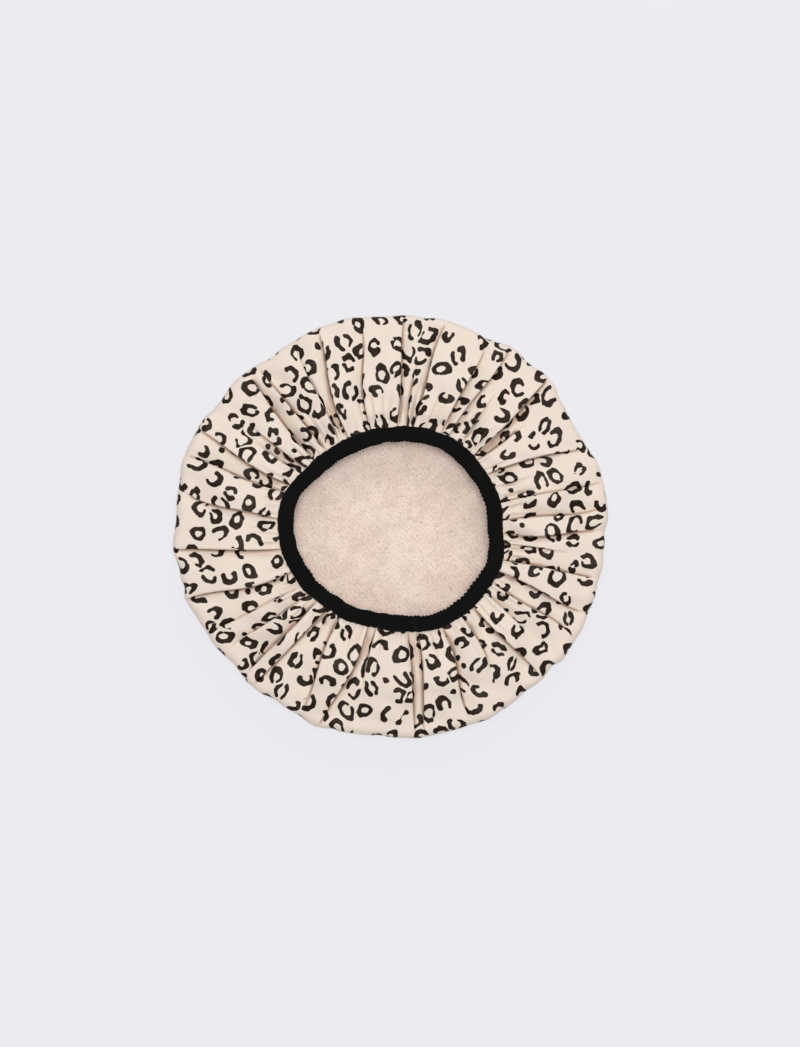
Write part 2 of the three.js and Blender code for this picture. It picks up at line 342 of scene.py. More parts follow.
# The leopard print. Lengths are in shares of the spacing of its rosettes, and arcs are half angles in
# radians. A rosette has two short arcs where its chance is over PAIRED_FROM.
CELL_SCATTER = 0.52
CELL_MARGIN = 0.04
MARGIN_BLEND = 0.09
LINE_SHAKE = 0.22
ROSETTE_OVAL = (0.8, 1.08, 0.0)
LEAST_RADIUS, RADIUS_SPREAD = 0.182, 0.12
LEAST_ARC, ARC_SPREAD = 1.4, 1.6
PAIRED_ARC, PAIRED_FROM = 0.95, 0.74
LOPSIDED_STROKE = 0.55
THIN_AT_GAP = 0.2
EDGE_WOBBLE = 0.11
EDGE_SOFTNESS = 0.012
DOT_SCALE, DOT_SCATTER = 2.1, 0.85
DOT_RADIUS, DOT_ROOM = 0.13, 0.69
DOT_WOBBLE = 0.1

# Yarns of the woven and knitted pieces
SHELL_YARN = 0.0005
TAPE_YARN = 0.0009
ELASTIC_YARN = 0.0012

# The towelling's rows of loops, which slant over the lining and are shaken by up to ROW_SHAKE radians
WALE_PITCH = 0.0015
COURSE_PITCH = 0.0026
ROW_SLANT = -47
ROW_SHAKE = 9.0

# The towelling's painted shade where its pile is low and painted light where it is high, and where in the
# noise its pink patches lie
TOWEL_SHEEN = 0.15
LOOP_SHADE = (0.8, 0.765, 0.735)
LOOP_LIGHT = (1.15, 1.147, 1.145)
BLUSH_SHIFT = (0.3, 0.1, 0.2)

# The tint of every cloth's highlights
WARM_SHEEN = (1.0, 0.85, 0.74, 1.0)

# The stage. The middle of the cap is seen at PHOTO_MIDDLE, in pixels from the left and the top.
PHOTO_SIZE = (800, 1047)
PHOTO_MIDDLE = (390.5, 527.5)
PHOTO_PIXEL = 0.000651
CAMERA_REACH = 20
FLOOR_SIZE = 8
OVERHEAD_PLACE, OVERHEAD_SIZE = (0.05, 0.2, 2.5), 1.2
SIDE_PLACE, SIDE_SIZE = (0.5, 1.9, 1.3), 1.0


def smooth(low, high, value):
    """A soft step from 0 at the low value to 1 at the high one."""
    share = np.clip((value - low) / (high - low), 0, 1)
    return share * share * (3 - 2 * share)


def wave(angle, count, peak):
    """This many waves to the turn, with a crest at the peak."""
    return np.cos(count * (angle - math.radians(peak)))


def bulges(angle, rows):
    """The sum of the soft swells of a table, at these angles."""
    total = 0.0
    for place, size, width in rows:
        away = np.mod(np.degrees(angle) - place + 180, 360) - 180
        total = total + size * np.exp(-(away / width) ** 2)
    return total


def mouth_radius(angle):
    """The radius of the inner edge of the band."""
    shift = MOUTH_SHIFT * wave(angle, 1, MOUTH_SHIFT_ANGLE)
    oval = MOUTH_OVAL * wave(angle, 2, MOUTH_OVAL_ANGLE)
    lobe = MOUTH_LOBE * wave(angle, 3, MOUTH_LOBE_ANGLE)
    return MOUTH_RADIUS + shift + oval + lobe + bulges(angle, MOUTH_CORNERS)


def rim_corners():
    """The angles in degrees and the radii of the rim's corners, which lie at the long pleats."""
    angles = np.array([row[0] for row in LONG_PLEATS], float)
    radii = np.array([row[3] for row in LONG_PLEATS])
    return angles, radii


def rim_outline(angle):
    """The radius of the rim: straight runs of cloth between its corners, with their swells."""
    corners, radii = rim_corners()
    corners = np.radians(np.append(corners, corners[0] + 360))
    radii = np.append(radii, radii[0])
    angle = corners[0] + np.mod(angle - corners[0], TURN)
    i = np.clip(np.searchsorted(corners, angle, side="right") - 1, 0, len(LONG_PLEATS) - 1)
    before = angle - corners[i]
    after = corners[i + 1] - angle
    span = radii[i] * radii[i + 1] * np.sin(corners[i + 1] - corners[i])
    straight = span / (radii[i] * np.sin(before) + radii[i + 1] * np.sin(after))
    return straight + bulges(angle, RIM_SWELLS)


def uneven(seed, shortest, longest, count=24):
    """A smooth random height over a plane, mostly from -1 to 1, as a sum of waves of many lengths."""
    draw = np.random.default_rng(seed)
    turns = draw.uniform(0, TURN, count)
    lengths = draw.uniform(shortest, longest, count)
    phases = draw.uniform(0, TURN, count)

    def height(x, y):
        total = np.zeros(np.broadcast(x, y).shape)
        for turn, length, phase in zip(turns, lengths, phases):
            along = x * np.cos(turn) + y * np.sin(turn)
            total += np.sin(TURN * along / length + phase)
        return total / np.sqrt(count)

    return height


class Meridian:
    """The line from the crown, round the rim and in to the cut edge, one row to each point."""

    def __init__(self):
        under = np.radians(np.linspace(-90, 0, UNDER_ROWS, endpoint=False))
        over = np.radians(np.linspace(0, 90, OVER_ROWS, endpoint=False))
        roll = np.concatenate([under, over])
        top = 1 - (1 - np.linspace(0, 1, TOP_ROWS)) ** TOP_CROWDING
        slot = np.array(SLOT_SINKS)
        self.facing = np.concatenate([roll, np.full(len(top) + len(slot), np.pi / 2)])
        self.out = np.cos(self.facing)
        self.up = np.sin(self.facing)
        self.share = np.concatenate([np.zeros(len(roll)), top, np.ones(len(slot))])
        self.sink = np.concatenate([np.zeros(len(roll) + len(top)), slot])
        above = self.facing > 0
        self.inset = np.where(above, OVER_REACH, UNDER_REACH) * (1 - self.out)
        tall = np.where(above, ROLL_HEIGHT - RIM_LEVEL, RIM_LEVEL)
        rise = (SLOT_HEIGHT - ROLL_HEIGHT) * smooth(0, 1, self.share)
        bulge = TOP_BULGE * np.sin(np.pi * self.share) ** 2
        self.height = RIM_LEVEL + tall * self.up + rise + bulge
        self.radius = self.at(RIM_RADIUS, MOUTH_RADIUS + BAND_WIDTH)[:, 0]
        self.flat = self.flat_radius(0)
        self.rim_row = np.argmin(np.abs(self.facing))
        self.lip_row = len(roll) + len(top) - 1
        past_rim = self.flat - self.flat[self.rim_row]
        self.run = np.clip(past_rim / past_rim[self.lip_row], 0, 1)

    def column(self, name):
        """The values of all rows, set upright so that they meet every column of points."""
        return getattr(self, name)[:, None]

    def at(self, rim, lip):
        """The radius of each row where the rim and the lip of the binding have these radii."""
        share = self.column("share")
        return (rim - self.column("inset")) * (1 - share) + lip * share - self.column("sink")

    def flat_radius(self, depth):
        """The radius of each row on the flat cut of a layer that lies this deep under the outer face."""
        radius = self.radius - depth * self.out
        height = self.height - depth * self.up
        steps = np.hypot(np.diff(radius), np.diff(height))
        return radius[0] + np.concatenate([[0], np.cumsum(steps)])

    def lining_depth(self):
        """How far the outer face of the lining lies under the shell in each row."""
        run = self.column("run")
        deep = LINING_GAP + LINING_SLACK * smooth(0, LINING_SLACK_RUN, run)
        return deep + (LINING_SEAT - deep) * smooth(LINING_RISE_FROM, 1, run)

    def loose(self):
        """How far each row is free to swell: not on the table, and not in the binding."""
        off_table = smooth(*OFF_TABLE, np.degrees(self.column("facing")))
        return off_table * (1 - smooth(HELD_FROM, 1, self.column("run")))


class Pleats:
    """Both kinds of pleat, in order round the cap, with their lines and how far they open in each row."""

    def __init__(self, shape, meridian):
        long = [(rim, mouth, lean, 0.0, strength) for rim, mouth, lean, _, strength in LONG_PLEATS]
        ordered = sorted(long + list(SHORT_PLEATS))
        values = [np.array(column, float) for column in zip(*ordered)]
        self.rim, self.mouth, self.lean, self.start, self.strength = values
        self.count = len(ordered)
        self.short = self.start > 0
        run = meridian.column("run")
        self.angle = np.radians(self.lines(shape, run))
        ahead = np.concatenate([self.angle[:, 1:], self.angle[:, :1] + TURN], axis=1)
        self.middle = (self.angle + ahead) / 2
        self.open = self.opening(meridian)
        pressed = smooth(PRESSED_FROM, 1, run)
        rise = shape.pleat_rise * (1 - pressed) + shape.pressed_rise * pressed
        drop = shape.pleat_drop * (1 - pressed) + shape.pressed_drop * pressed
        dent = smooth(self.start - DENT_LEAD, self.start + DENT_RUN, run)
        self.nose = self.open * self.strength * rise
        self.root = -np.where(self.short, dent, self.open) * self.strength * drop
        closed = np.clip((self.strength - CLOSING_FROM) / CLOSING_SPAN, LEAST_CLOSED, 1)
        self.formed = smooth(0, FOLD_FORMED, self.open) * closed
        self.stepped = smooth(0, STEP_FORMED, self.open)
        self.spread = 1 + shape.dent_spread * (1 - self.formed)
        width = (ahead - self.angle) * meridian.column("radius")
        on_top = np.where(self.lean > 0, np.roll(width, 1, axis=1), width)
        self.depth = np.minimum(shape.tuck_depth * self.open * self.strength, TUCK_ROOM * on_top)

    def lines(self, shape, run):
        """The angle of each pleat in every row, in degrees: straight, but it strays where it has room."""
        draw = np.random.default_rng(PLEAT_SEED)
        wander = draw.uniform(-1, 1, self.count) * np.sin(np.pi * run)
        sway = draw.uniform(-1, 1, self.count) * np.sin(TURN * run)
        at_rim, at_mouth = (np.diff(ends, append=ends[0] + 360) for ends in (self.rim, self.mouth))
        room = np.minimum(at_rim, at_mouth)
        free = np.minimum(1, np.minimum(room, np.roll(room, 1)) / WANDER_ROOM)
        straight = self.rim + (self.mouth - self.rim) * run
        return straight + shape.crease_wander * free * (wander + sway)

    def opening(self, meridian):
        """How far each pleat is open in every row, from 0 to 1."""
        run = meridian.column("run")
        corners, radii = rim_corners()
        stands_out = radii - (np.roll(radii, 1) + np.roll(radii, -1)) / 2
        at_corner = np.clip(CORNER_OPEN + CORNER_OPEN_PER_METRE * stands_out, *CORNER_OPEN_LIMITS)
        firm = np.where(self.short, 0, np.interp(self.rim, corners, at_corner))
        firm = firm * (CORNER_SOFT + (1 - CORNER_SOFT) * smooth(0, CORNER_SOFT_RUN, run))
        opening = firm + (1 - firm) * smooth(self.start, self.start + OPENING_RUN, run)
        under = smooth(np.radians(UNDER_FADE), 0, meridian.column("facing"))
        return opening * np.where(run > 0, 1, under)

    def tuck_span(self, k):
        """The points of fold k between which the cloth is hidden, in order round the cap."""
        if self.lean[k] < 0:
            return FOLD_LAST - TUCK_TO, FOLD_LAST - TUCK_FROM
        return TUCK_FROM, TUCK_TO


def fold_block(pleats, k, folded):
    """Offsets along the cloth, heights and painted crease shade of the points of pleat k, in every row.

    A layer that isn't folded only dips there.
    """
    fixed, deep, level = (np.array(column) for column in zip(*FOLD_POINTS))
    flat = (np.arange(len(FOLD_POINTS)) - FOLD_LAST / 2) * FOLD_FLAT_STEP
    nose = pleats.nose[:, [k]]
    root = pleats.root[:, [k]]
    formed = pleats.formed[:, [k]]
    if folded:
        along = fixed + deep * pleats.depth[:, [k]]
        along = flat + (along - flat) * formed
        height = root + level * pleats.stepped[:, [k]] * (nose - root)
    else:
        along = np.repeat(flat[None], len(nose), axis=0)
        height = np.repeat(root, len(flat), axis=1)
    # The share of painted shade, deepest in the crevice under the fold
    crease_shade = formed * np.clip(1 - level, 0, 1)
    if pleats.lean[k] < 0:
        return -along[:, ::-1], height[:, ::-1], crease_shade[:, ::-1]
    return along, height, crease_shade


def facet_block(shape, meridian, ends, edges, spreads, columns):
    """Angles, heights and painted crease shade of the cloth between two pleats, in every row.

    It lifts or dips to the heights of its two edges and swells between them, and it takes painted shade
    where it dips.
    """
    share = np.arange(1, columns + 1) / (columns + 1)
    start, end = ends
    low, high = edges
    width = (end - start) * meridian.column("radius")
    reach_low, reach_high = (
        np.where(edge > 0, shape.crest_width, shape.valley_width * spread)
        for edge, spread in zip(edges, spreads)
    )
    near_start = np.exp(-share * width / reach_low)
    near_end = np.exp(-(1 - share) * width / reach_high)
    swell = np.sin(np.pi * share) * np.minimum(1, width / shape.puff_width)
    puff = shape.facet_puff * meridian.loose() * swell
    dip = np.minimum(low, 0) * near_start ** 2 + np.minimum(high, 0) * near_end ** 2
    lean = np.where(low * high > 0, shape.level_lean, shape.facet_lean)
    from_start = low * (near_start + lean * (1 - near_start)) * (1 - share)
    from_end = high * (near_end + lean * (1 - near_end)) * share
    angle = start + (end - start) * share
    # The last value is the share of painted shade where the cloth dips
    return angle, from_start + from_end + puff, -dip / shape.pleat_drop


def in_turn(folds, facets):
    """The columns of each fold and of the cloth after it, in order round the cap."""
    return np.concatenate([block for pair in zip(folds, facets) for block in pair], axis=1)


class Cloth:
    """One layer of gathered cloth, by rows and columns: where it lies on the cap and on the flat cut."""

    def __init__(self, shape, folded, column):
        self.meridian = Meridian()
        self.pleats = Pleats(shape, self.meridian)
        count = self.pleats.count
        self.folds = [fold_block(self.pleats, k, folded) for k in range(count)]
        radius = self.meridian.column("radius")
        self.tucks = [self.pleats.angle[:, [k]] + self.folds[k][0] / radius for k in range(count)]
        facets = [self.facet(shape, k, column) for k in range(count)]
        self.facets = [angle for angle, _, _ in facets]
        self.angle = in_turn(self.tucks, self.facets)
        self.height = in_turn([fold[1] for fold in self.folds], [facet[1] for facet in facets])
        # The share of painted shade at each point, deepest in the crevices and dips of the folds
        self.crease_shade = in_turn([fold[2] for fold in self.folds], [facet[2] for facet in facets])
        self.rim = rim_outline(self.angle[0])

    def facet(self, shape, k, column):
        """The cloth from pleat k to the next one, with columns of about this angle."""
        spread = self.pleats.spread
        following = (k + 1) % self.pleats.count
        start = self.tucks[k][:, [-1]]
        end = self.tucks[following][:, [0]] + (TURN if following == 0 else 0)
        edges = self.folds[k][1][:, [-1]], self.folds[following][1][:, [0]]
        spreads = spread[:, [k]], spread[:, [following]]
        columns = max(LEAST_COLUMNS, round(float(np.degrees(end - start).max()) / column))
        return facet_block(shape, self.meridian, (start, end), edges, spreads, columns)

    def points(self, inset):
        """The points of a layer that lies this far under the outer face."""
        meridian = self.meridian
        proud = self.height - inset
        lip = mouth_radius(self.angle) + BAND_WIDTH
        radius = meridian.at(self.rim, lip) + proud * meridian.column("out")
        height = meridian.column("height") + proud * meridian.column("up")
        return np.stack([radius * np.cos(self.angle), radius * np.sin(self.angle), height], axis=-1)

    def lay_out(self):
        """Finds each point's place on the flat cut: true to size on top, with the rest in the tucks."""
        pleats = self.pleats
        radius, flat, run = (self.meridian.column(name) for name in ("radius", "flat", "run"))
        eased = smooth(0, TRUE_RUN, run)
        true_size = 1 + (radius / flat - 1) * eased
        before, hidden, after = zip(*(self.fold_steps(k, true_size) for k in range(pleats.count)))
        between = [steps * true_size for steps in self.facet_steps()]
        stretches = zip(after, between, before[1:] + before[:1])
        shown = np.stack([sum(steps.sum(1) for steps in stretch) for stretch in stretches], axis=1)
        level = np.stack([steps.sum(1) for steps in hidden], axis=1)
        places = self.facet_places(shown, level)
        gaps = places - np.roll(places, 1, axis=1) - (shown + np.roll(shown, 1, axis=1)) / 2
        gaps[:, 0] += TURN
        blocks = []
        for k in range(pleats.count):
            spare = (gaps[:, [k]] - level[:, [k]]) / hidden[k].shape[1]
            blocks += [before[k], hidden[k] + spare, after[k], between[k]]
        steps = np.concatenate(blocks, axis=1)
        first = places[:, [0]] - shown[:, [0]] / 2 - gaps[:, [0]] - before[0].sum(1, keepdims=True)
        self.flat_angle = first + np.cumsum(steps, axis=1) - steps
        self.flat_radius = flat + self.skew(eased)

    def fold_steps(self, k, true_size):
        """Steps over fold k on the flat cut, as angles: before its tuck, over it and after it."""
        along, height, _ = self.folds[k]
        formed = self.pleats.formed[:, [k]]
        length = np.hypot(np.diff(along), np.diff(height)) / self.meridian.column("flat")
        level = np.abs(np.diff(along)) / self.meridian.column("radius") * true_size
        steps = level + (length - level) * formed
        first, last = self.pleats.tuck_span(k)
        return steps[:, :first], level[:, first:last] * (1 - formed), steps[:, last:]

    def facet_steps(self):
        """Steps over the cloth between each two folds, along its surface, as angles at its own radius."""
        radius = self.meridian.column("radius")
        angle = np.concatenate([self.angle, self.angle[:, :1] + TURN], axis=1)
        height = np.concatenate([self.height, self.height[:, :1]], axis=1)
        steps = np.hypot(np.diff(angle) * radius, np.diff(height)) / radius
        found = []
        end = 0
        for facet in self.facets:
            start = end + FOLD_LAST
            end = start + facet.shape[1] + 1
            found.append(steps[:, start:end])
        return found

    def facet_places(self, shown, level):
        """The angle of the middle of the cloth between two folds on the flat cut, in every row.

        It stays where it leaves the rim, but a fold that isn't formed can't part the cloth on its sides.
        """
        pleats = self.pleats
        together = (shown + np.roll(shown, 1, axis=1)) / 2 + level
        spare = np.where(pleats.short, 2 * pleats.depth / self.meridian.column("flat"), 0)
        unformed = (1 - pleats.formed) / (pleats.formed + HOLD_SOFTNESS)
        stiff = FOLD_HOLD * unformed ** 2 + np.where(pleats.short, SHORT_HOLD, 0)
        places = np.zeros_like(shown)
        for row in range(len(shown)):
            matrix = np.eye(pleats.count)
            target = pleats.middle[self.meridian.rim_row].copy()
            for k in range(pleats.count):
                apart = together[row, k] + spare[row, k] - (TURN if k == 0 else 0)
                for near, far, sign in ((k, k - 1, 1), (k - 1, k, -1)):
                    matrix[near, near] += stiff[row, k]
                    matrix[near, far] -= stiff[row, k]
                    target[near] += sign * stiff[row, k] * apart
            places[row] = np.linalg.solve(matrix, target)
        return places

    def skew(self, eased):
        """How much further out each point lies on the flat cut because the folds beside it run aslant."""
        pleats, meridian = self.pleats, self.meridian
        middle = pleats.middle
        rim, lip = meridian.rim_row, meridian.lip_row
        slant = (middle[lip] - middle[rim]) / (meridian.flat[lip] - meridian.flat[rim])
        drift = slant * meridian.column("radius") ** 2 * eased
        blocks = []
        for k in range(pleats.count):
            turn = TURN if k == 0 else 0
            from_last = (self.tucks[k] - middle[:, [k - 1]] + turn) * drift[:, [k - 1]]
            from_next = (self.tucks[k] - middle[:, [k]]) * drift[:, [k]]
            first, last = pleats.tuck_span(k)
            share = np.clip((np.arange(len(FOLD_POINTS)) - first) / (last - first), 0, 1)
            blocks.append(from_last + (from_next - from_last) * share)
            blocks.append((self.facets[k] - middle[:, [k]]) * drift[:, [k]])
        return np.concatenate(blocks, axis=1)


def add_gathers(shape, cloth):
    """Narrow valleys of different lengths, each along one column, where the binding draws the cloth in,
    with painted shade along them.
    """
    draw = np.random.default_rng(GATHER_SEED)
    meridian = cloth.meridian
    run = meridian.column("run")
    radius = meridian.column("radius")
    at_lip = np.degrees(cloth.angle[meridian.lip_row] - cloth.angle[meridian.lip_row, 0])
    pressed = 1 - GATHER_PRESSED * smooth(GATHER_PRESSED_FROM, 1, run)
    places = np.cumsum(draw.uniform(*GATHER_STEPS, GATHERS_DRAWN))
    sunk = np.zeros_like(cloth.height)
    for place in places[places < LAST_GATHER]:
        column = int(np.argmin(np.abs(at_lip - place)))
        length = draw.uniform(*GATHER_LENGTHS)
        depth = shape.gather_depth * draw.uniform(*GATHER_DEPTHS)
        steep = draw.uniform(*GATHER_STEEP)
        slack = draw.uniform(*GATHER_SLACK)
        side = draw.choice((-1, 1))
        turned = np.mod(cloth.angle - cloth.angle[:, [column]] + np.pi, TURN) - np.pi
        width = np.where(turned * side > 0, slack, steep)
        grows = smooth(1 - length, 1 - GATHER_FULL * length, run) * pressed
        reach = width * (1 + GATHER_FLARE * (1 - grows))
        sunk = np.maximum(sunk, depth * grows * np.exp(-np.abs(turned) * radius / reach))
    cloth.height -= sunk
    # The gathers take painted shade too, deepest along their valleys
    cloth.crease_shade = np.maximum(cloth.crease_shade, sunk / shape.gather_depth)


def crown_points(first_row, floor):
    """Rings of points inside the first row, from the middle outwards, at the floor's height."""
    turn = math.atan2(first_row[0, 1], first_row[0, 0])
    angle = turn + np.arange(CROWN_COLUMNS) * TURN / CROWN_COLUMNS
    radius = np.hypot(first_row[:, 0], first_row[:, 1]).min()
    shares = np.arange(1, CROWN_RINGS) / CROWN_RINGS
    x = radius * shares[:, None] * np.cos(angle)
    y = radius * shares[:, None] * np.sin(angle)
    return np.stack([x, y, floor(x, y)], axis=-1)


def cloth_faces(rings, rows, first_angles):
    """Faces from the middle of the crown outwards and up to the cut edge, facing out of the cap."""
    count = CROWN_COLUMNS
    columns = len(first_angles)

    def ring_point(i, j):
        return 1 + i * count + j % count

    def row_point(i, j):
        return 1 + rings * count + i * columns + j % columns

    def strips(point, lines, across):
        return [
            (point(i, j), point(i, j + 1), point(i + 1, j + 1), point(i + 1, j))
            for i in range(lines - 1)
            for j in range(across)
        ]

    faces = [(0, ring_point(0, j + 1), ring_point(0, j)) for j in range(count)]
    faces += strips(ring_point, rings, count)
    turned = first_angles - first_angles[0]
    starts = np.searchsorted(turned, np.arange(count + 1) * TURN / count - SAME_ANGLE)
    for j in range(count):
        outer = [row_point(0, c) for c in range(starts[j + 1], starts[j] - 1, -1)]
        faces.append((ring_point(rings - 1, j), ring_point(rings - 1, j + 1), *outer))
    return faces + strips(row_point, rows, columns)


def new_piece(name, points, faces, uv):
    """A smooth mesh object in the scene, with the flat place of each point as its UV map."""
    mesh = bpy.data.meshes.new(name)
    mesh.from_pydata(points.tolist(), [], faces)
    mesh.update()
    corners = np.zeros(len(mesh.loops), np.int32)
    mesh.loops.foreach_get("vertex_index", corners)
    layer = mesh.uv_layers.new(name="Flat cut")
    layer.data.foreach_set("uv", uv[corners].astype(np.float32).ravel())
    mesh.polygons.foreach_set("use_smooth", np.ones(len(mesh.polygons), bool))
    piece = bpy.data.objects.new(name, mesh)
    bpy.context.scene.collection.objects.link(piece)
    return piece


def select_only(pieces):
    """Makes these the selected objects, and the first of them the active one."""
    bpy.ops.object.select_all(action="DESELECT")
    for piece in pieces:
        piece.select_set(True)
    bpy.context.view_layer.objects.active = pieces[0]


def cloth_piece(name, cloth, inset, floor, facing_in=False):
    """A layer and its crown as one mesh, with its flat cut as a UV map and its painted crease shade as an
    attribute.
    """
    grid = cloth.points(inset)
    rings = crown_points(grid[0], floor)
    middle = np.array([[0, 0, float(floor(np.zeros(1), np.zeros(1))[0])]])
    points = np.concatenate([middle, rings.reshape(-1, 3), grid.reshape(-1, 3)])
    faces = cloth_faces(len(rings), len(grid), cloth.angle[0])
    if facing_in:
        faces = [face[::-1] for face in faces]
    flat_x = cloth.flat_radius * np.cos(cloth.flat_angle)
    flat_y = cloth.flat_radius * np.sin(cloth.flat_angle)
    laid = np.stack([flat_x, flat_y], axis=-1)
    uv = np.concatenate([middle[:, :2], rings[..., :2].reshape(-1, 2), laid.reshape(-1, 2)])
    piece = new_piece(name, points, faces, uv)
    # The crown takes no painted shade; the rest holds the share of painted shade in the folds
    smooth_crown = np.zeros(len(points) - cloth.crease_shade.size)
    values = np.concatenate([smooth_crown, cloth.crease_shade.ravel()])
    shade_layer = piece.data.attributes.new("Crease", "FLOAT", "POINT")
    shade_layer.data.foreach_set("value", values.astype(np.float32))
    return piece


# Shader nodes

def feed(tree, socket, value):
    """Links a socket to another, or sets it to a plain value."""
    if isinstance(value, bpy.types.NodeSocket):
        tree.links.new(value, socket)
    else:
        socket.default_value = value


def add_node(tree, kind, inputs=None, **settings):
    """A new node with these settings, and with its inputs linked or set."""
    node = tree.nodes.new(kind)
    for name, value in settings.items():
        setattr(node, name, value)
    for name, value in (inputs or {}).items():
        feed(tree, node.inputs[name], value)
    return node


def calc(tree, operation, *values):
    """The result of a Math node."""
    node = add_node(tree, "ShaderNodeMath", dict(enumerate(values)), operation=operation)
    return node.outputs[0]


def arithmetic(tree):
    """Short ways to times, times_plus, plus and minus in this tree, in that order."""
    operations = ("MULTIPLY", "MULTIPLY_ADD", "ADD", "SUBTRACT")
    return [partial(calc, tree, operation) for operation in operations]


def vector_calc(tree, operation, *values):
    """The result of a Vector Math node."""
    node = add_node(tree, "ShaderNodeVectorMath", dict(enumerate(values)), operation=operation)
    return node.outputs["Value" if operation in {"LENGTH", "DISTANCE"} else "Vector"]


def scaled(tree, vector, factor):
    """A vector times a number."""
    inputs = {0: vector, "Scale": factor}
    return add_node(tree, "ShaderNodeVectorMath", inputs, operation="SCALE").outputs["Vector"]


def rotated(tree, vector, angle):
    """A vector turned round Z."""
    inputs = {"Vector": vector, "Angle": angle}
    return add_node(tree, "ShaderNodeVectorRotate", inputs, rotation_type="Z_AXIS").outputs[0]


def split(tree, vector):
    """The three parts of a vector."""
    return add_node(tree, "ShaderNodeSeparateXYZ", {"Vector": vector}).outputs


def ramp(tree, value, low, high, to_low=0.0, to_high=1.0):
    """A soft step of a value from one range to another."""
    inputs = {"Value": value, "From Min": low, "From Max": high, "To Min": to_low, "To Max": to_high}
    return add_node(tree, "ShaderNodeMapRange", inputs, interpolation_type="SMOOTHSTEP").outputs["Result"]


def mix_colours(tree, factor, first, second, blend_type="MIX"):
    """A mix of two colours, by the numbers of the Mix node's colour sockets."""
    inputs = {0: factor, 6: first, 7: second}
    return add_node(tree, "ShaderNodeMix", inputs, data_type="RGBA", blend_type=blend_type).outputs[2]


def noise(tree, vector, scale, detail=2.0, roughness=0.5, output="Fac"):
    """Smooth noise over the surface."""
    inputs = {"Vector": vector, "Scale": scale, "Detail": detail, "Roughness": roughness}
    return add_node(tree, "ShaderNodeTexNoise", inputs).outputs[output]


def voronoi(tree, vector, scale, scatter, feature="F1"):
    """Cells over a plane."""
    inputs = {"Vector": vector, "Scale": scale, "Randomness": scatter}
    cells = add_node(tree, "ShaderNodeTexVoronoi", inputs, voronoi_dimensions="2D", feature=feature)
    return cells.outputs


def object_place(tree):
    """The place of a point on its piece."""
    return add_node(tree, "ShaderNodeTexCoord").outputs["Object"]


def flat_place(tree):
    """The place of a point on the flat cut of its cloth."""
    return add_node(tree, "ShaderNodeUVMap", uv_map="Flat cut").outputs["UV"]


def new_group(name, inputs, outputs):
    """An empty shader node group with these names and kinds of sockets, and its two ends."""
    group = bpy.data.node_groups.new(name, "ShaderNodeTree")
    for in_out, sockets in (("INPUT", inputs), ("OUTPUT", outputs)):
        for socket, kind in sockets.items():
            group.interface.new_socket(name=socket, in_out=in_out, socket_type=kind)
    entry = group.nodes.new("NodeGroupInput")
    leaving = group.nodes.new("NodeGroupOutput")
    return group, entry.outputs, leaving.inputs


def use_group(tree, group, **inputs):
    """The outputs of a node group placed in this tree."""
    return add_node(tree, "ShaderNodeGroup", inputs, node_tree=group).outputs


def new_material(name, specular, roughness=None):
    """A material with a warm sheen, its node tree and its shader."""
    material = bpy.data.materials.new(name)
    material.use_nodes = True
    shader = material.node_tree.nodes["Principled BSDF"]
    shader.inputs["Specular IOR Level"].default_value = specular
    shader.inputs["Specular Tint"].default_value = WARM_SHEEN
    if roughness is not None:
        shader.inputs["Roughness"].default_value = roughness
    return material, material.node_tree, shader


def add_bump(tree, shader, height, distance):
    """Lets a height from 0 to 1 stand out by this distance."""
    bump = add_node(tree, "ShaderNodeBump", {"Height": height, "Distance": distance, "Strength": 1.0})
    feed(tree, shader.inputs["Normal"], bump.outputs["Normal"])


def dress(piece, material):
    """Gives a piece this one material."""
    piece.data.materials.clear()
    piece.data.materials.append(material)


def rgba(colour, level=1.0):
    """A colour made darker or lighter by this level, with full alpha."""
    return (*(channel * level for channel in colour), 1.0)


def levels(tree, factor, colour, dark, light):
    """One colour, mixed from a darker and a lighter level of it."""
    return mix_colours(tree, factor, rgba(colour, dark), rgba(colour, light))


def to_arc(group, across, away, radius, half, paired):
    """How far a point lies from an arc of a circle that spans this half angle.

    Where it is paired, a second arc lies opposite.
    """
    times, _, plus, minus = arithmetic(group)
    alone = minus(1.0, paired)
    ahead = minus(times(calc(group, "ABSOLUTE", across[0]), paired), times(across[0], alone))
    aside = calc(group, "ABSOLUTE", across[1])
    sine = calc(group, "SINE", half)
    cosine = calc(group, "COSINE", half)
    past_end = calc(group, "GREATER_THAN", times(cosine, aside), times(sine, ahead))
    end_x = minus(aside, times(sine, radius))
    end_y = minus(ahead, times(cosine, radius))
    to_end = calc(group, "SQRT", plus(calc(group, "POWER", end_x, 2.0), calc(group, "POWER", end_y, 2.0)))
    to_ring = calc(group, "ABSOLUTE", minus(away, radius))
    return plus(times(to_end, past_end), times(to_ring, minus(1.0, past_end)))


def loose_dots(group, drawn, wobble):
    """Dots where the rosettes leave room for them."""
    times, times_plus, _, minus = arithmetic(group)
    dots = voronoi(group, drawn, DOT_SCALE, DOT_SCATTER)
    room = voronoi(group, dots["Position"], 1.0, CELL_SCATTER)
    free = calc(group, "GREATER_THAN", room["Distance"], DOT_ROOM)
    edge = minus(vector_calc(group, "DISTANCE", drawn, dots["Position"]), DOT_RADIUS)
    edge = times_plus(wobble, DOT_WOBBLE, edge)
    return times(ramp(group, edge, EDGE_SOFTNESS, -EDGE_SOFTNESS), free)


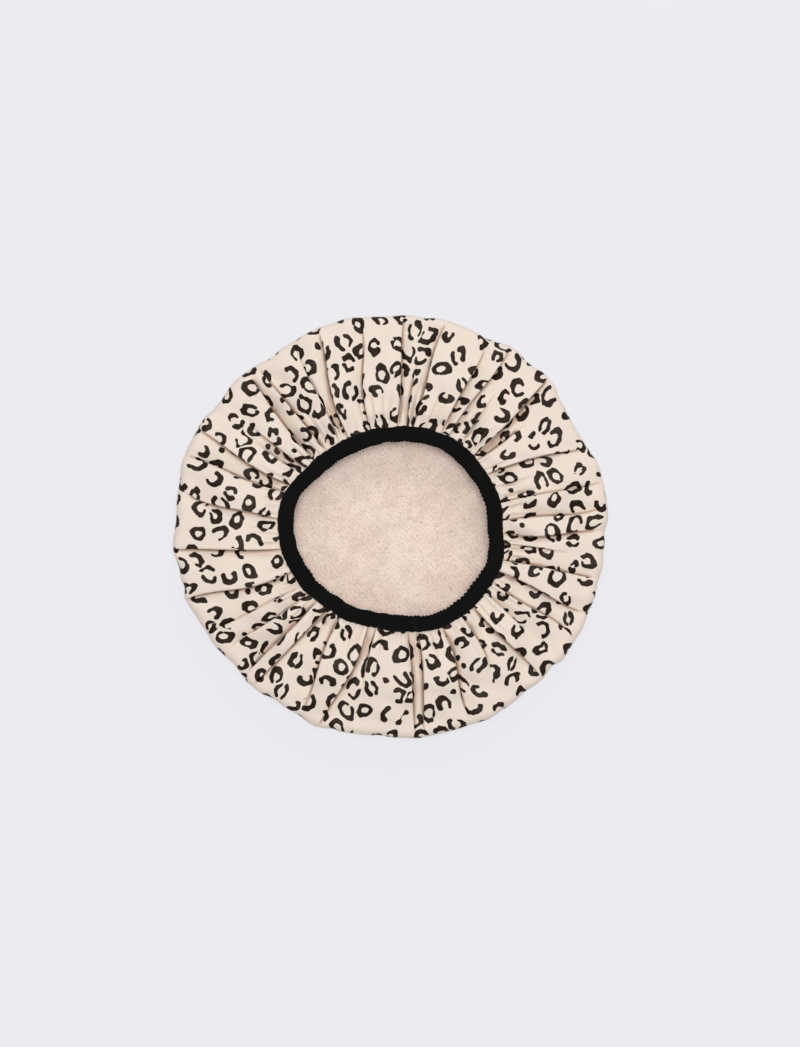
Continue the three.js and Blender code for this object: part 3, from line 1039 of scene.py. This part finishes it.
def rosette_group():
    """Leopard rosettes over a flat cloth: broken rings of uneven stroke, with dots between them."""
    inputs = {"Flat": "NodeSocketVector", "Spacing": "NodeSocketFloat", "Stroke": "NodeSocketFloat"}
    group, given, result = new_group("Leopard rosettes", inputs, {"Print": "NodeSocketFloat"})
    times, times_plus, plus, minus = arithmetic(group)
    spacing = add_node(group, "ShaderNodeCombineXYZ", {axis: given["Spacing"] for axis in "XYZ"})
    place = vector_calc(group, "DIVIDE", given["Flat"], spacing.outputs["Vector"])
    shake = noise(group, place, scale=1.9, detail=1.0, output="Color")
    shake = vector_calc(group, "SUBTRACT", shake, (0.5, 0.5, 0.5))
    drawn = vector_calc(group, "ADD", place, scaled(group, shake, LINE_SHAKE))
    cells = voronoi(group, drawn, 1.0, CELL_SCATTER)
    borders = voronoi(group, drawn, 1.0, CELL_SCATTER, "DISTANCE_TO_EDGE")
    first = split(group, cells["Color"])
    middle = {"Vector": cells["Position"]}
    chance = add_node(group, "ShaderNodeTexWhiteNoise", middle, noise_dimensions="2D")
    second = split(group, chance.outputs["Color"])
    local = vector_calc(group, "SUBTRACT", drawn, cells["Position"])
    long_way = rotated(group, local, times(first[0], TURN))
    oval = vector_calc(group, "MULTIPLY", long_way, ROSETTE_OVAL)
    gap_way = rotated(group, oval, times(second[0], TURN))
    away = vector_calc(group, "LENGTH", gap_way)
    across = split(group, gap_way)
    facing_gap = calc(group, "DIVIDE", across[0], away)
    beside_gap = calc(group, "DIVIDE", across[1], away)
    lopsided = times(beside_gap, minus(second[1], 0.5))
    fatness = minus(times_plus(lopsided, LOPSIDED_STROKE, 1.0), times(facing_gap, THIN_AT_GAP))
    stroke = times(fatness, given["Stroke"])
    radius = times_plus(first[1], RADIUS_SPREAD, LEAST_RADIUS)
    paired = calc(group, "GREATER_THAN", second[2], PAIRED_FROM)
    arc = times_plus(first[2], ARC_SPREAD, LEAST_ARC)
    half = plus(times(arc, minus(1.0, paired)), times(paired, PAIRED_ARC))
    broken = minus(to_arc(group, across, away, radius, half, paired), stroke)
    margin = minus(CELL_MARGIN, borders["Distance"])
    fits = calc(group, "SMOOTH_MAX", broken, margin, MARGIN_BLEND)
    wobble = minus(noise(group, place, scale=4.2, detail=0.0), 0.5)
    edge = times_plus(wobble, EDGE_WOBBLE, fits)
    rosettes = ramp(group, edge, EDGE_SOFTNESS, -EDGE_SOFTNESS)
    dots = loose_dots(group, drawn, wobble)
    feed(group, result["Print"], calc(group, "MAXIMUM", rosettes, dots))
    return group


def weave_group():
    """Fine yarns that cross at right angles, as a height from 0 to 1, and a slow change in tone."""
    inputs = {"Place": "NodeSocketVector", "Yarn": "NodeSocketFloat"}
    outputs = {"Height": "NodeSocketFloat", "Tone": "NodeSocketFloat"}
    group, given, result = new_group("Woven yarns", inputs, outputs)
    times, times_plus, _, _ = arithmetic(group)
    ways = split(group, given["Place"])
    rate = calc(group, "DIVIDE", TURN, given["Yarn"])
    over = calc(group, "SINE", times(ways[0], rate))
    under = calc(group, "SINE", times(ways[1], rate))
    crossed = times_plus(times(over, under), 0.5, 0.5)
    slub = noise(group, given["Place"], scale=900.0)
    feed(group, result["Height"], times_plus(slub, 0.4, crossed))
    feed(group, result["Tone"], noise(group, given["Place"], scale=45.0, detail=3.0))
    return group


def woven(tree, place, yarn):
    """The height and the tone of yarns of this size, from one group that the materials share."""
    group = bpy.data.node_groups.get("Woven yarns") or weave_group()
    return use_group(tree, group, Place=place, Yarn=yarn)


def shell_cloth(finish):
    """Smooth cream cloth with its print, and painted warm shade deep in its folds and gathers."""
    material, tree, shader = new_material("Printed shell cloth", specular=0.21)
    flat = flat_place(tree)
    sizes = {"Spacing": finish.rosette_spacing, "Stroke": finish.rosette_stroke}
    rosettes = use_group(tree, rosette_group(), Flat=flat, **sizes)["Print"]
    yarns = woven(tree, flat, SHELL_YARN)
    plain = levels(tree, yarns["Tone"], finish.cream, dark=0.97, light=1.02)
    # Painted warm shade, mixed into the cream where the Crease attribute is high
    crease_shade = add_node(tree, "ShaderNodeAttribute", attribute_name="Crease").outputs["Fac"]
    shade_share = ramp(tree, crease_shade, 0.6, 1.0, to_low=0.0, to_high=0.5)
    cream = mix_colours(tree, shade_share, plain, rgba(finish.crease_shade))
    # The print's tone varies at random in slow patches, and its lighter patches are a painted sheen
    ink = levels(tree, yarns["Tone"], finish.ink, dark=0.5, light=1.8)
    feed(tree, shader.inputs["Base Color"], mix_colours(tree, rosettes, cream, ink))
    rough = ramp(tree, rosettes, 0.0, 1.0, to_low=0.5, to_high=0.42)
    feed(tree, shader.inputs["Roughness"], rough)
    add_bump(tree, shader, yarns["Height"], distance=0.00003)
    return material


def stripes(tree, along, pitch, shake):
    """Soft lines of this pitch across one coordinate, from 0 to 1, shaken off straight."""
    turn = calc(tree, "MULTIPLY_ADD", along, TURN / pitch, shake)
    return calc(tree, "MULTIPLY_ADD", calc(tree, "SINE", turn), 0.5, 0.5)


def towelling(finish):
    """Looped pile in slanting rows that come and go, with gaps between loops, pinker patches, and painted
    shade and light that follow the pile.
    """
    material, tree, shader = new_material("Towelling", specular=0.1, roughness=1.0)
    shader.inputs["Sheen Weight"].default_value = TOWEL_SHEEN
    times, times_plus, _, minus = arithmetic(tree)
    place = object_place(tree)
    slant = (0, 0, math.radians(ROW_SLANT))
    slanting = add_node(tree, "ShaderNodeMapping", {"Vector": place, "Rotation": slant})
    ways = split(tree, slanting.outputs["Vector"])
    shake = times(noise(tree, place, scale=260.0), ROW_SHAKE)
    wales = stripes(tree, ways[1], WALE_PITCH, shake)
    courses = stripes(tree, ways[0], COURSE_PITCH, shake)
    patchy = ramp(tree, noise(tree, place, scale=130.0), 0.36, 0.62, to_low=0.3, to_high=1.0)
    rows = times(times_plus(wales, 0.7, times(courses, 0.3)), patchy)
    loops = noise(tree, place, scale=950.0, roughness=0.7)
    gaps = ramp(tree, noise(tree, place, scale=620.0, detail=1.0), 0.58, 0.78, to_low=0.0, to_high=0.4)
    pile = minus(times_plus(rows, 0.45, loops), gaps)
    mottled = ramp(tree, noise(tree, place, scale=60.0, detail=3.0, roughness=0.6), 0.35, 0.65)
    base = levels(tree, mottled, finish.towel, dark=0.975, light=1.015)
    elsewhere = vector_calc(tree, "ADD", place, BLUSH_SHIFT)
    rosy = ramp(tree, noise(tree, elsewhere, scale=48.0, detail=3.0, roughness=0.6), 0.42, 0.66)
    blush = mix_colours(tree, rosy, base, rgba(finish.towel_blush))
    # Painted shade in the low pile between loops and rows, and painted light on the loop tops
    shade = mix_colours(tree, ramp(tree, pile, 0.2, 1.0), rgba(LOOP_SHADE), rgba(LOOP_LIGHT))
    feed(tree, shader.inputs["Base Color"], mix_colours(tree, 1.0, blush, shade, "MULTIPLY"))
    add_bump(tree, shader, pile, distance=0.0004)
    return material


def knitted_tape(finish):
    """Matt black tape."""
    material, tree, shader = new_material("Knitted tape", specular=0.08, roughness=0.9)
    yarns = woven(tree, flat_place(tree), TAPE_YARN)
    black = levels(tree, yarns["Tone"], finish.tape, dark=0.6, light=1.5)
    feed(tree, shader.inputs["Base Color"], black)
    add_bump(tree, shader, yarns["Height"], distance=0.00012)
    return material


def spun_thread(finish):
    """Black thread with fine strands."""
    material, tree, shader = new_material("Spun thread", specular=0.25, roughness=0.7)
    strands = noise(tree, object_place(tree), scale=2600.0)
    black = levels(tree, strands, finish.tape, dark=0.5, light=1.6)
    feed(tree, shader.inputs["Base Color"], black)
    add_bump(tree, shader, strands, distance=0.00006)
    return material


def braided_elastic(finish):
    """Dark elastic, with painted light where its yarns stand up."""
    material, tree, shader = new_material("Braided elastic", specular=0.2, roughness=0.8)
    yarns = woven(tree, object_place(tree), ELASTIC_YARN)
    # Painted light on the raised yarns
    grey = levels(tree, yarns["Height"], finish.tape, dark=1.2, light=3.0)
    feed(tree, shader.inputs["Base Color"], grey)
    add_bump(tree, shader, yarns["Height"], distance=0.0001)
    return material


# The mouth band

def round_ripple(angle, seed, fewest, most, count=14):
    """A smooth random line round the cap, mostly from -1 to 1, with so many waves to the turn."""
    draw = np.random.default_rng(seed)
    waves = draw.integers(fewest, most, count)
    phases = draw.uniform(0, TURN, count)
    return sum(np.sin(n * angle + p) for n, p in zip(waves, phases)) / math.sqrt(count / 2)


def lap_angles():
    """The angle where the tape starts, and the angles that its lap and the ramp up to it span."""
    join = math.radians(TAPE_JOIN_ANGLE)
    radius = float(mouth_radius(join))
    return join, TAPE_LAP / radius, TAPE_LAP_RAMP / radius


def tape_section(growth):
    """The folded tape in section: points (across, up) outside and back inside, with growth at the lap."""
    outside = FOLD_RADIUS + growth
    inside = outside - TAPE_THICKNESS
    straight = np.linspace(BAND_WIDTH, FOLD_RADIUS, STRAIGHT_POINTS)
    turn = np.radians(np.linspace(90, 270, BEND_POINTS))[1:-1]

    def path(radius):
        over = [(across, FOLD_RADIUS + radius) for across in straight]
        bend = [(FOLD_RADIUS + radius * math.cos(a), FOLD_RADIUS + radius * math.sin(a)) for a in turn]
        below = [(across, FOLD_RADIUS - radius) for across in straight[::-1]]
        return over + bend + below

    return np.array(path(outside) + path(inside)[::-1])


def in_mix(mix, first, second):
    """Two ripples in this mix, set upright so that they meet every point of the section."""
    return (mix[0] * first + mix[1] * second)[:, None]


def tape_ripples(angle):
    """How the outer edge, the fold and the faces of the tape ripple, in shares of the ripple's height."""
    shift = SCALLOP_SHIFT * round_ripple(angle, *SHIFT_WAVES)
    scallop = np.sin(SCALLOP_COUNT * angle + shift) * (SCALLOP_LEAST + bulges(angle, SCALLOPS))
    edge = in_mix(EDGE_MIX, round_ripple(angle, *FINE_EDGE_WAVES), round_ripple(angle, *SLOW_EDGE_WAVES))
    fold = in_mix(FOLD_MIX, scallop, round_ripple(angle, *FOLD_WAVES))
    faces = in_mix(FACE_MIX, scallop, round_ripple(angle, *PUCKER_WAVES))
    return edge, fold, faces


def tape_points(shape):
    """Angles along the tape, its plain section at each of them, and its points."""
    join, lap, lap_ramp = lap_angles()
    angle = np.linspace(join, join + TURN + lap, TAPE_COLUMNS)
    growth = LAP_GROWTH * smooth(join + TURN - 2 * lap_ramp, join + TURN - lap_ramp, angle)
    section = np.stack([tape_section(g) for g in growth])
    across, up = section[..., 0], section[..., 1]
    outer = smooth(FOLD_RADIUS * 2, BAND_WIDTH, across)
    folded = smooth(FOLD_RADIUS, 0, across)
    side = np.sign(up - FOLD_RADIUS)
    edge, fold, faces = tape_ripples(angle)
    swell = bulges(angle, FOLD_SWELLS)[:, None]
    dent = bulges(angle, TAPE_CREASES)[:, None]
    across = across + shape.tape_ripple * (edge * outer + fold * folded) + swell * folded
    lift = FACE_LIFT * shape.tape_ripple * faces * (FACE_LEAST + outer) - dent
    up = up + side * lift * (1 - folded)
    radius = mouth_radius(angle)[:, None] + across
    x = radius * np.cos(angle)[:, None]
    y = radius * np.sin(angle)[:, None]
    return angle, section, np.stack([x, y, BAND_LOW + up], axis=-1)


def tape_mesh(shape):
    """The folded tape as one closed mesh, with its flat cut as a UV map."""
    angle, section, points = tape_points(shape)
    columns, size = points.shape[:2]
    faces = []
    for i in range(columns - 1):
        here, ahead = i * size, (i + 1) * size
        for j in range(size):
            k = (j + 1) % size
            faces.append((here + j, here + k, ahead + k, ahead + j))
    for end in (0, columns - 1):
        for j in range(size // 2 - 1):
            ring = (j, j + 1, size - 2 - j, size - 1 - j)
            face = tuple(end * size + corner for corner in ring)
            faces.append(face[::-1] if end == 0 else face)
    along = angle[:, None] * BAND_MIDDLE * np.ones(size)
    steps = np.linalg.norm(np.diff(section[0], axis=0), axis=1)
    width = np.concatenate([[0], np.cumsum(steps)])[None] * np.ones((columns, 1))
    uv = np.stack([along, width], axis=-1)
    return new_piece("cap_binding", points.reshape(-1, 3), faces, uv.reshape(-1, 2))


def one_stitch(length, thickness):
    """A short round-ended length of thread along X, made once and copied."""
    bpy.ops.object.select_all(action="DESELECT")
    bpy.ops.mesh.primitive_uv_sphere_add(segments=8, ring_count=6, radius=thickness / 2)
    stitch = bpy.context.object
    bpy.ops.object.mode_set(mode="EDIT")
    bpy.ops.mesh.select_all(action="SELECT")
    bpy.ops.transform.rotate(value=math.pi / 2, orient_axis="Y", center_override=(0, 0, 0))
    bpy.ops.object.mode_set(mode="OBJECT")
    ahead = (length - thickness) / 2
    middle_ring = thickness / 100
    for vertex in stitch.data.vertices:
        if abs(vertex.co.x) > middle_ring:
            vertex.co.x += math.copysign(ahead, vertex.co.x)
        vertex.co.z += STITCH_ARCH * thickness * (1 - (2 * vertex.co.x / length) ** 2)
    bpy.ops.object.shade_smooth()
    return stitch


def stitch_row(name, stitch, places):
    """One piece from copies of a stitch, each with its own mesh, at these places."""
    copies = []
    for place in places:
        copy = stitch.copy()
        copy.data = stitch.data.copy()
        copy.data.transform(place)
        bpy.context.scene.collection.objects.link(copy)
        copies.append(copy)
    select_only(copies)
    bpy.ops.object.join()
    row = bpy.context.object
    row.name = name
    row.data.name = name
    row.matrix_world = Matrix.Identity(4)
    return row


def band_place(angle, across, height, turn=0.0, flip=False):
    """Where a stitch lies on the band, with its length along the band unless it is turned."""
    radius = float(mouth_radius(angle)) + across
    spot = Vector((radius * math.cos(angle), radius * math.sin(angle), height))
    upside_down = Matrix.Rotation(math.pi, 4, "X") if flip else Matrix.Identity(4)
    return Matrix.Translation(spot) @ Matrix.Rotation(angle + math.pi / 2 + turn, 4, "Z") @ upside_down


def lap_height(angle):
    """How far the lap of the tape lifts a stitch here."""
    join, lap, lap_ramp = lap_angles()
    past = (angle - join + math.pi) % TURN - math.pi
    rises = smooth(-2 * lap_ramp, -lap_ramp, past)
    return LAP_GROWTH * float(rises) if past <= lap else 0.0


class CapShape(bpy.types.PropertyGroup):
    """Sizes of the folds, the cloths, the tape and the stitches"""

    pleat_rise: bpy.props.FloatProperty(
        name="Pleat rise", description="How far the fold on top stands over the cloth",
        default=0.0021, min=0, unit="LENGTH")
    pleat_drop: bpy.props.FloatProperty(
        name="Pleat drop", description="How far the cloth dips where it comes out from under a fold",
        default=0.0027, min=0.0001, unit="LENGTH")
    pressed_rise: bpy.props.FloatProperty(
        name="Pressed rise", description="The rise that is left in the binding",
        default=0.00015, min=0, unit="LENGTH")
    pressed_drop: bpy.props.FloatProperty(
        name="Pressed drop", description="The dip that is left in the binding",
        default=0.0009, min=0, unit="LENGTH")
    tuck_depth: bpy.props.FloatProperty(
        name="Tuck depth", description="How far a fold lies over the cloth below it",
        default=0.004, min=0, unit="LENGTH")
    crest_width: bpy.props.FloatProperty(
        name="Crest width", description="How far from its edge a fold on top starts to lift",
        default=0.0055, min=0.001, unit="LENGTH")
    valley_width: bpy.props.FloatProperty(
        name="Valley width", description="How far from a fold the cloth below starts to dip",
        default=0.0045, min=0.001, unit="LENGTH")
    dent_spread: bpy.props.FloatProperty(
        name="Dent spread", description="How much wider the dip is where a fold isn't formed yet",
        default=1.2, min=0)
    facet_lean: bpy.props.FloatProperty(
        name="Facet lean", description="Share of a fold's height that the whole cloth beside it leans by",
        default=0.78, min=0, max=1, subtype="FACTOR")
    level_lean: bpy.props.FloatProperty(
        name="Level lean", description="The same share where that cloth rises or dips to both folds",
        default=0.82, min=0, max=1, subtype="FACTOR")
    facet_puff: bpy.props.FloatProperty(
        name="Facet puff", description="How far the cloth between two folds swells",
        default=0.0013, min=0, unit="LENGTH")
    puff_width: bpy.props.FloatProperty(
        name="Puff width", description="The width between two folds that swells in full",
        default=0.02, min=0.001, unit="LENGTH")
    gather_depth: bpy.props.FloatProperty(
        name="Gather depth", description="Depth of the small gathers at the binding",
        default=0.0038, min=0.0001, unit="LENGTH")
    cloth_unevenness: bpy.props.FloatProperty(
        name="Cloth unevenness", description="Slow waves in the shell cloth",
        default=0.0006, min=0, unit="LENGTH")
    crease_wander: bpy.props.FloatProperty(
        name="Crease wander", description="How far the folds stray from straight lines, in degrees",
        default=1.2, min=0)
    towel_unevenness: bpy.props.FloatProperty(
        name="Towelling unevenness", description="Slow waves in the lining where it lies on the crown",
        default=0.0007, min=0, unit="LENGTH")
    towel_thickness: bpy.props.FloatProperty(
        name="Towelling thickness", description="Thickness of the lining",
        default=0.0004, min=0, unit="LENGTH")
    tape_ripple: bpy.props.FloatProperty(
        name="Tape ripple", description="How far the edges of the binding ripple",
        default=0.00028, min=0, unit="LENGTH")
    stitch_length: bpy.props.FloatProperty(
        name="Stitch length", description="Length of a stitch in the row that holds the binding",
        default=0.0026, min=0.0005, unit="LENGTH")


class CapFinish(bpy.types.PropertyGroup):
    """Colours of the cloths, of the painted shade in the shell's folds, of the tape and the thread, and
    the size of the print
    """

    cream: bpy.props.FloatVectorProperty(
        name="Shell cloth", description="Ground colour of the shell cloth",
        default=(0.85, 0.734, 0.636), size=3, subtype="COLOR")
    ink: bpy.props.FloatVectorProperty(
        name="Print", description="Colour of the leopard print",
        default=(0.013, 0.0055, 0.0032), size=3, subtype="COLOR")
    # The colour of the painted warm shade deep in the shell's folds
    crease_shade: bpy.props.FloatVectorProperty(
        name="Painted crease shade", description="Colour of the shell cloth deep in its folds",
        default=(0.5, 0.3, 0.19), size=3, subtype="COLOR")
    rosette_spacing: bpy.props.FloatProperty(
        name="Rosette spacing", description="Mean distance from one rosette to the next",
        default=0.015, min=0.002, unit="LENGTH")
    rosette_stroke: bpy.props.FloatProperty(
        name="Rosette stroke", description="Half the stroke of a rosette, as a share of the spacing",
        default=0.098, min=0)
    towel: bpy.props.FloatVectorProperty(
        name="Towelling", description="Colour of the lining",
        default=(0.905, 0.75, 0.66), size=3, subtype="COLOR")
    towel_blush: bpy.props.FloatVectorProperty(
        name="Towelling blush", description="Colour of the pinker patches of the lining",
        default=(0.9, 0.721, 0.633), size=3, subtype="COLOR")
    tape: bpy.props.FloatVectorProperty(
        name="Tape and thread", description="Colour of the binding and of the thread",
        default=(0.005, 0.005, 0.005), size=3, subtype="COLOR")


class CapStage(bpy.types.PropertyGroup):
    """The backdrop, the light and the lens"""

    backdrop: bpy.props.FloatVectorProperty(
        name="Backdrop", description="Colour of the floor and of what lies round it",
        default=(0.842, 0.842, 0.876), size=3, subtype="COLOR")
    floor_glow: bpy.props.FloatProperty(
        name="Floor glow", description="Share of the floor's colour that shadows don't reach",
        default=0.85, min=0, max=1, subtype="FACTOR")
    dome: bpy.props.FloatProperty(
        name="Dome light", description="Strength of the even light from all round",
        default=0.4, min=0)
    overhead: bpy.props.FloatProperty(
        name="Overhead light", description="Power of the lamp overhead",
        default=32.5, min=0, unit="POWER")
    side: bpy.props.FloatProperty(
        name="Side light", description="Power of the low lamp behind the cap",
        default=9.0, min=0, unit="POWER")
    lens: bpy.props.FloatProperty(
        name="Lens", description="Focal length of the camera in millimetres",
        default=100.0, min=10)


class CAP_OT_outer_shell(bpy.types.Operator):
    """Make the printed shell: one round cut of cloth, pleated into the binding"""

    bl_idname = "cap.outer_shell"
    bl_label = "Outer shell"

    def execute(self, context):
        shape = context.scene.cap_shape
        cloth = Cloth(shape, folded=True, column=SHELL_COLUMN)
        meridian = cloth.meridian
        add_gathers(shape, cloth)
        radius = meridian.column("radius")
        waves = uneven(*SHELL_WAVES)(radius * np.cos(cloth.angle), radius * np.sin(cloth.angle))
        calm = CALM_RIM + (1 - CALM_RIM) * smooth(0, CALM_RUN, meridian.column("run"))
        cloth.height += shape.cloth_unevenness * waves * calm * meridian.loose()
        cloth.height = np.maximum(cloth.height, LAYER_CLEARANCE - meridian.lining_depth())
        cloth.lay_out()
        shell = cloth_piece("cap_shell", cloth, 0.0, lambda x, y: np.zeros_like(x))
        dress(shell, shell_cloth(context.scene.cap_finish))
        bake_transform(shell)
        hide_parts("outer_shell")
        return {"FINISHED"}


class CAP_OT_lining(bpy.types.Operator):
    """Make the towelling lining, which lies on the crown and is gathered under the shell"""

    bl_idname = "cap.lining"
    bl_label = "Lining"

    def execute(self, context):
        shape = context.scene.cap_shape
        cloth = Cloth(shape, folded=False, column=LINING_COLUMN)
        cloth.height = np.minimum(cloth.height, 0)
        cloth.lay_out()
        waves = uneven(*TOWEL_WAVES)
        thickness = shape.towel_thickness

        def floor(x, y):
            return LINING_GAP + thickness + shape.towel_unevenness * (TOWEL_LIFT + waves(x, y))

        inset = cloth.meridian.lining_depth() + thickness
        lining = cloth_piece("cap_lining", cloth, inset, floor, facing_in=True)
        body = lining.modifiers.new("Body", "SOLIDIFY")
        body.thickness = thickness
        body.offset = -1
        select_only([lining])
        bpy.ops.object.modifier_apply(modifier=body.name)
        dress(lining, towelling(context.scene.cap_finish))
        cut = 2 * cloth.meridian.flat_radius(inset[:, 0] - thickness / 2)[-1]
        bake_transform(lining)
        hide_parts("lining")
        return {"FINISHED"}


class CAP_OT_binding(bpy.types.Operator):
    """Make the folded tape round the mouth, with its rippled edges and its lap"""

    bl_idname = "cap.binding"
    bl_label = "Binding"

    def execute(self, context):
        tape = tape_mesh(context.scene.cap_shape)
        dress(tape, knitted_tape(context.scene.cap_finish))
        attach(tape, "mouth_band")
        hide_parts("binding")
        return {"FINISHED"}


class CAP_OT_stitches(bpy.types.Operator):
    """Make the row of stitches that holds the binding, on both sides, and the tack over its lap"""

    bl_idname = "cap.stitches"
    bl_label = "Stitches"

    def execute(self, context):
        length = context.scene.cap_shape.stitch_length
        across = BAND_WIDTH - STITCH_INSET
        count = round(TURN * (MOUTH_RADIUS + across) / (length * STITCH_PITCH))
        turns = [TURN * i / count for i in range(count)]
        over = [band_place(a, across, BAND_TOP + lap_height(a)) for a in turns]
        below = [band_place(a, across, BAND_LOW - lap_height(a), flip=True) for a in turns]
        rows = (
            ("cap_needle_stitches", over, "needle_thread"),
            ("cap_bobbin_stitches", below, "bobbin_thread"),
            ("cap_join_tack", self.tack_places(), "binding_join_tack"),
        )
        stitch = one_stitch(length, THREAD_THICKNESS)
        thread = spun_thread(context.scene.cap_finish)
        for name, places, node in rows:
            row = stitch_row(name, stitch, places)
            dress(row, thread)
            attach(row, "mouth_band")
            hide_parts(node)
        bpy.data.objects.remove(stitch)
        return {"FINISHED"}

    def tack_places(self):
        """Stitches side by side from the fold outwards, over the middle of the lap, slanting by turns."""
        join, lap, _ = lap_angles()
        places = []
        for i in range(TACK_STITCHES):
            across = FOLD_RADIUS + TACK_STEP * i
            slant = TACK_SLANT * (-1) ** i
            places.append(band_place(join + lap / 2, across, BAND_TOP + LAP_GROWTH, turn=slant))
        return places


class CAP_OT_inner_trim(bpy.types.Operator):
    """Give the elastic and its tack, which lie inside the binding, their finish"""

    bl_idname = "cap.inner_trim"
    bl_label = "Elastic inside"

    def execute(self, context):
        finish = context.scene.cap_finish
        dress(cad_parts["elastic"], braided_elastic(finish))
        dress(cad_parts["elastic_tack"], bpy.data.materials["Spun thread"])
        return {"FINISHED"}


class CAP_OT_stage(bpy.types.Operator):
    """Make the floor, the light and the camera, which looks straight down"""

    bl_idname = "cap.stage"
    bl_label = "Stage"

    def execute(self, context):
        scene = context.scene
        stage = scene.cap_stage
        self.add_floor(stage)
        self.light_world(scene, stage)
        self.add_lamp(scene, "Overhead light", OVERHEAD_PLACE, OVERHEAD_SIZE, stage.overhead)
        self.add_lamp(scene, "Side light", SIDE_PLACE, SIDE_SIZE, stage.side)
        self.add_camera(scene, stage)
        scene.view_settings.view_transform = "Standard"
        return {"FINISHED"}

    def add_floor(self, stage):
        """A plain floor that glows to the eye, so that it stays even and keeps a soft shadow."""
        bpy.ops.object.select_all(action="DESELECT")
        bpy.ops.mesh.primitive_plane_add(size=FLOOR_SIZE)
        floor = bpy.context.object
        floor.name = "floor"
        material = bpy.data.materials.new("Floor")
        material.use_nodes = True
        tree = material.node_tree
        tree.nodes.remove(tree.nodes["Principled BSDF"])
        plain = add_node(tree, "ShaderNodeBsdfDiffuse", {"Color": rgba(stage.backdrop)})
        glow = add_node(tree, "ShaderNodeEmission", {"Color": rgba(stage.backdrop)})
        rays = add_node(tree, "ShaderNodeLightPath").outputs
        seen = calc(tree, "MAXIMUM", rays["Is Camera Ray"], rays["Is Glossy Ray"])
        seen = calc(tree, "MAXIMUM", seen, rays["Is Transmission Ray"])
        glowing = calc(tree, "MULTIPLY", seen, stage.floor_glow)
        shares = {0: glowing, 1: plain.outputs[0], 2: glow.outputs[0]}
        mixed = add_node(tree, "ShaderNodeMixShader", shares)
        feed(tree, tree.nodes["Material Output"].inputs["Surface"], mixed.outputs[0])
        dress(floor, material)

    def light_world(self, scene, stage):
        """Even light from all round, with the backdrop's colour where the camera looks past the floor."""
        world = bpy.data.worlds.new("Pale surroundings")
        world.use_nodes = True
        tree = world.node_tree
        lit = tree.nodes["Background"]
        lit.inputs["Color"].default_value = (1, 1, 1, 1)
        lit.inputs["Strength"].default_value = stage.dome
        shown = add_node(tree, "ShaderNodeBackground", {"Color": rgba(stage.backdrop), "Strength": 1.0})
        rays = add_node(tree, "ShaderNodeLightPath").outputs
        shares = {0: rays["Is Camera Ray"], 1: lit.outputs[0], 2: shown.outputs[0]}
        mixed = add_node(tree, "ShaderNodeMixShader", shares)
        feed(tree, tree.nodes["World Output"].inputs["Surface"], mixed.outputs[0])
        scene.world = world

    def add_lamp(self, scene, name, place, size, power):
        """A round soft lamp that faces the cap."""
        lamp = bpy.data.lights.new(name, "AREA")
        lamp.energy = power
        lamp.shape = "DISK"
        lamp.size = size
        light = bpy.data.objects.new(name, lamp)
        light.location = place
        light.rotation_euler = (-light.location).to_track_quat("-Z", "Y").to_euler()
        scene.collection.objects.link(light)

    def add_camera(self, scene, stage):
        """A camera straight above, as far away as its lens needs for the photograph's frame."""
        width, height = PHOTO_SIZE
        middle_x, middle_y = PHOTO_MIDDLE
        lens = bpy.data.cameras.new("Camera")
        lens.lens = stage.lens
        lens.clip_end = CAMERA_REACH
        away = height * PHOTO_PIXEL * lens.lens / lens.sensor_width
        aim_x = (width / 2 - middle_x) * PHOTO_PIXEL
        aim_y = (middle_y - height / 2) * PHOTO_PIXEL
        camera = bpy.data.objects.new("Camera", lens)
        camera.location = (aim_x, aim_y, ROLL_HEIGHT / 2 + away)
        scene.collection.objects.link(camera)
        scene.camera = camera


class CAP_PT_panel(bpy.types.Panel):
    """Lists the pieces of the cap with their sizes and colours"""

    bl_idname = "CAP_PT_panel"
    bl_label = "Shower cap"
    bl_space_type = "VIEW_3D"
    bl_region_type = "UI"
    bl_category = "Shower cap"

    def draw(self, context):
        for operator in PIECES:
            self.layout.operator(operator.bl_idname)
        for group in (context.scene.cap_shape, context.scene.cap_finish, context.scene.cap_stage):
            box = self.layout.box()
            for name in group.__annotations__:
                box.prop(group, name)


GROUPS = {"cap_shape": CapShape, "cap_finish": CapFinish, "cap_stage": CapStage}
PIECES = (
    CAP_OT_outer_shell,
    CAP_OT_lining,
    CAP_OT_binding,
    CAP_OT_stitches,
    CAP_OT_inner_trim,
    CAP_OT_stage,
)
CLASSES = (*GROUPS.values(), *PIECES, CAP_PT_panel)


def register():
    for kind in CLASSES:
        bpy.utils.register_class(kind)
    for name, group in GROUPS.items():
        setattr(bpy.types.Scene, name, bpy.props.PointerProperty(type=group))


def unregister():
    for name in GROUPS:
        delattr(bpy.types.Scene, name)
    for kind in reversed(CLASSES):
        bpy.utils.unregister_class(kind)


def main():
    register()
    bpy.ops.cap.outer_shell()
    bpy.ops.cap.lining()
    bpy.ops.cap.binding()
    bpy.ops.cap.stitches()
    bpy.ops.cap.inner_trim()
    bpy.ops.cap.stage()


if __name__ == "__main__":
    main()
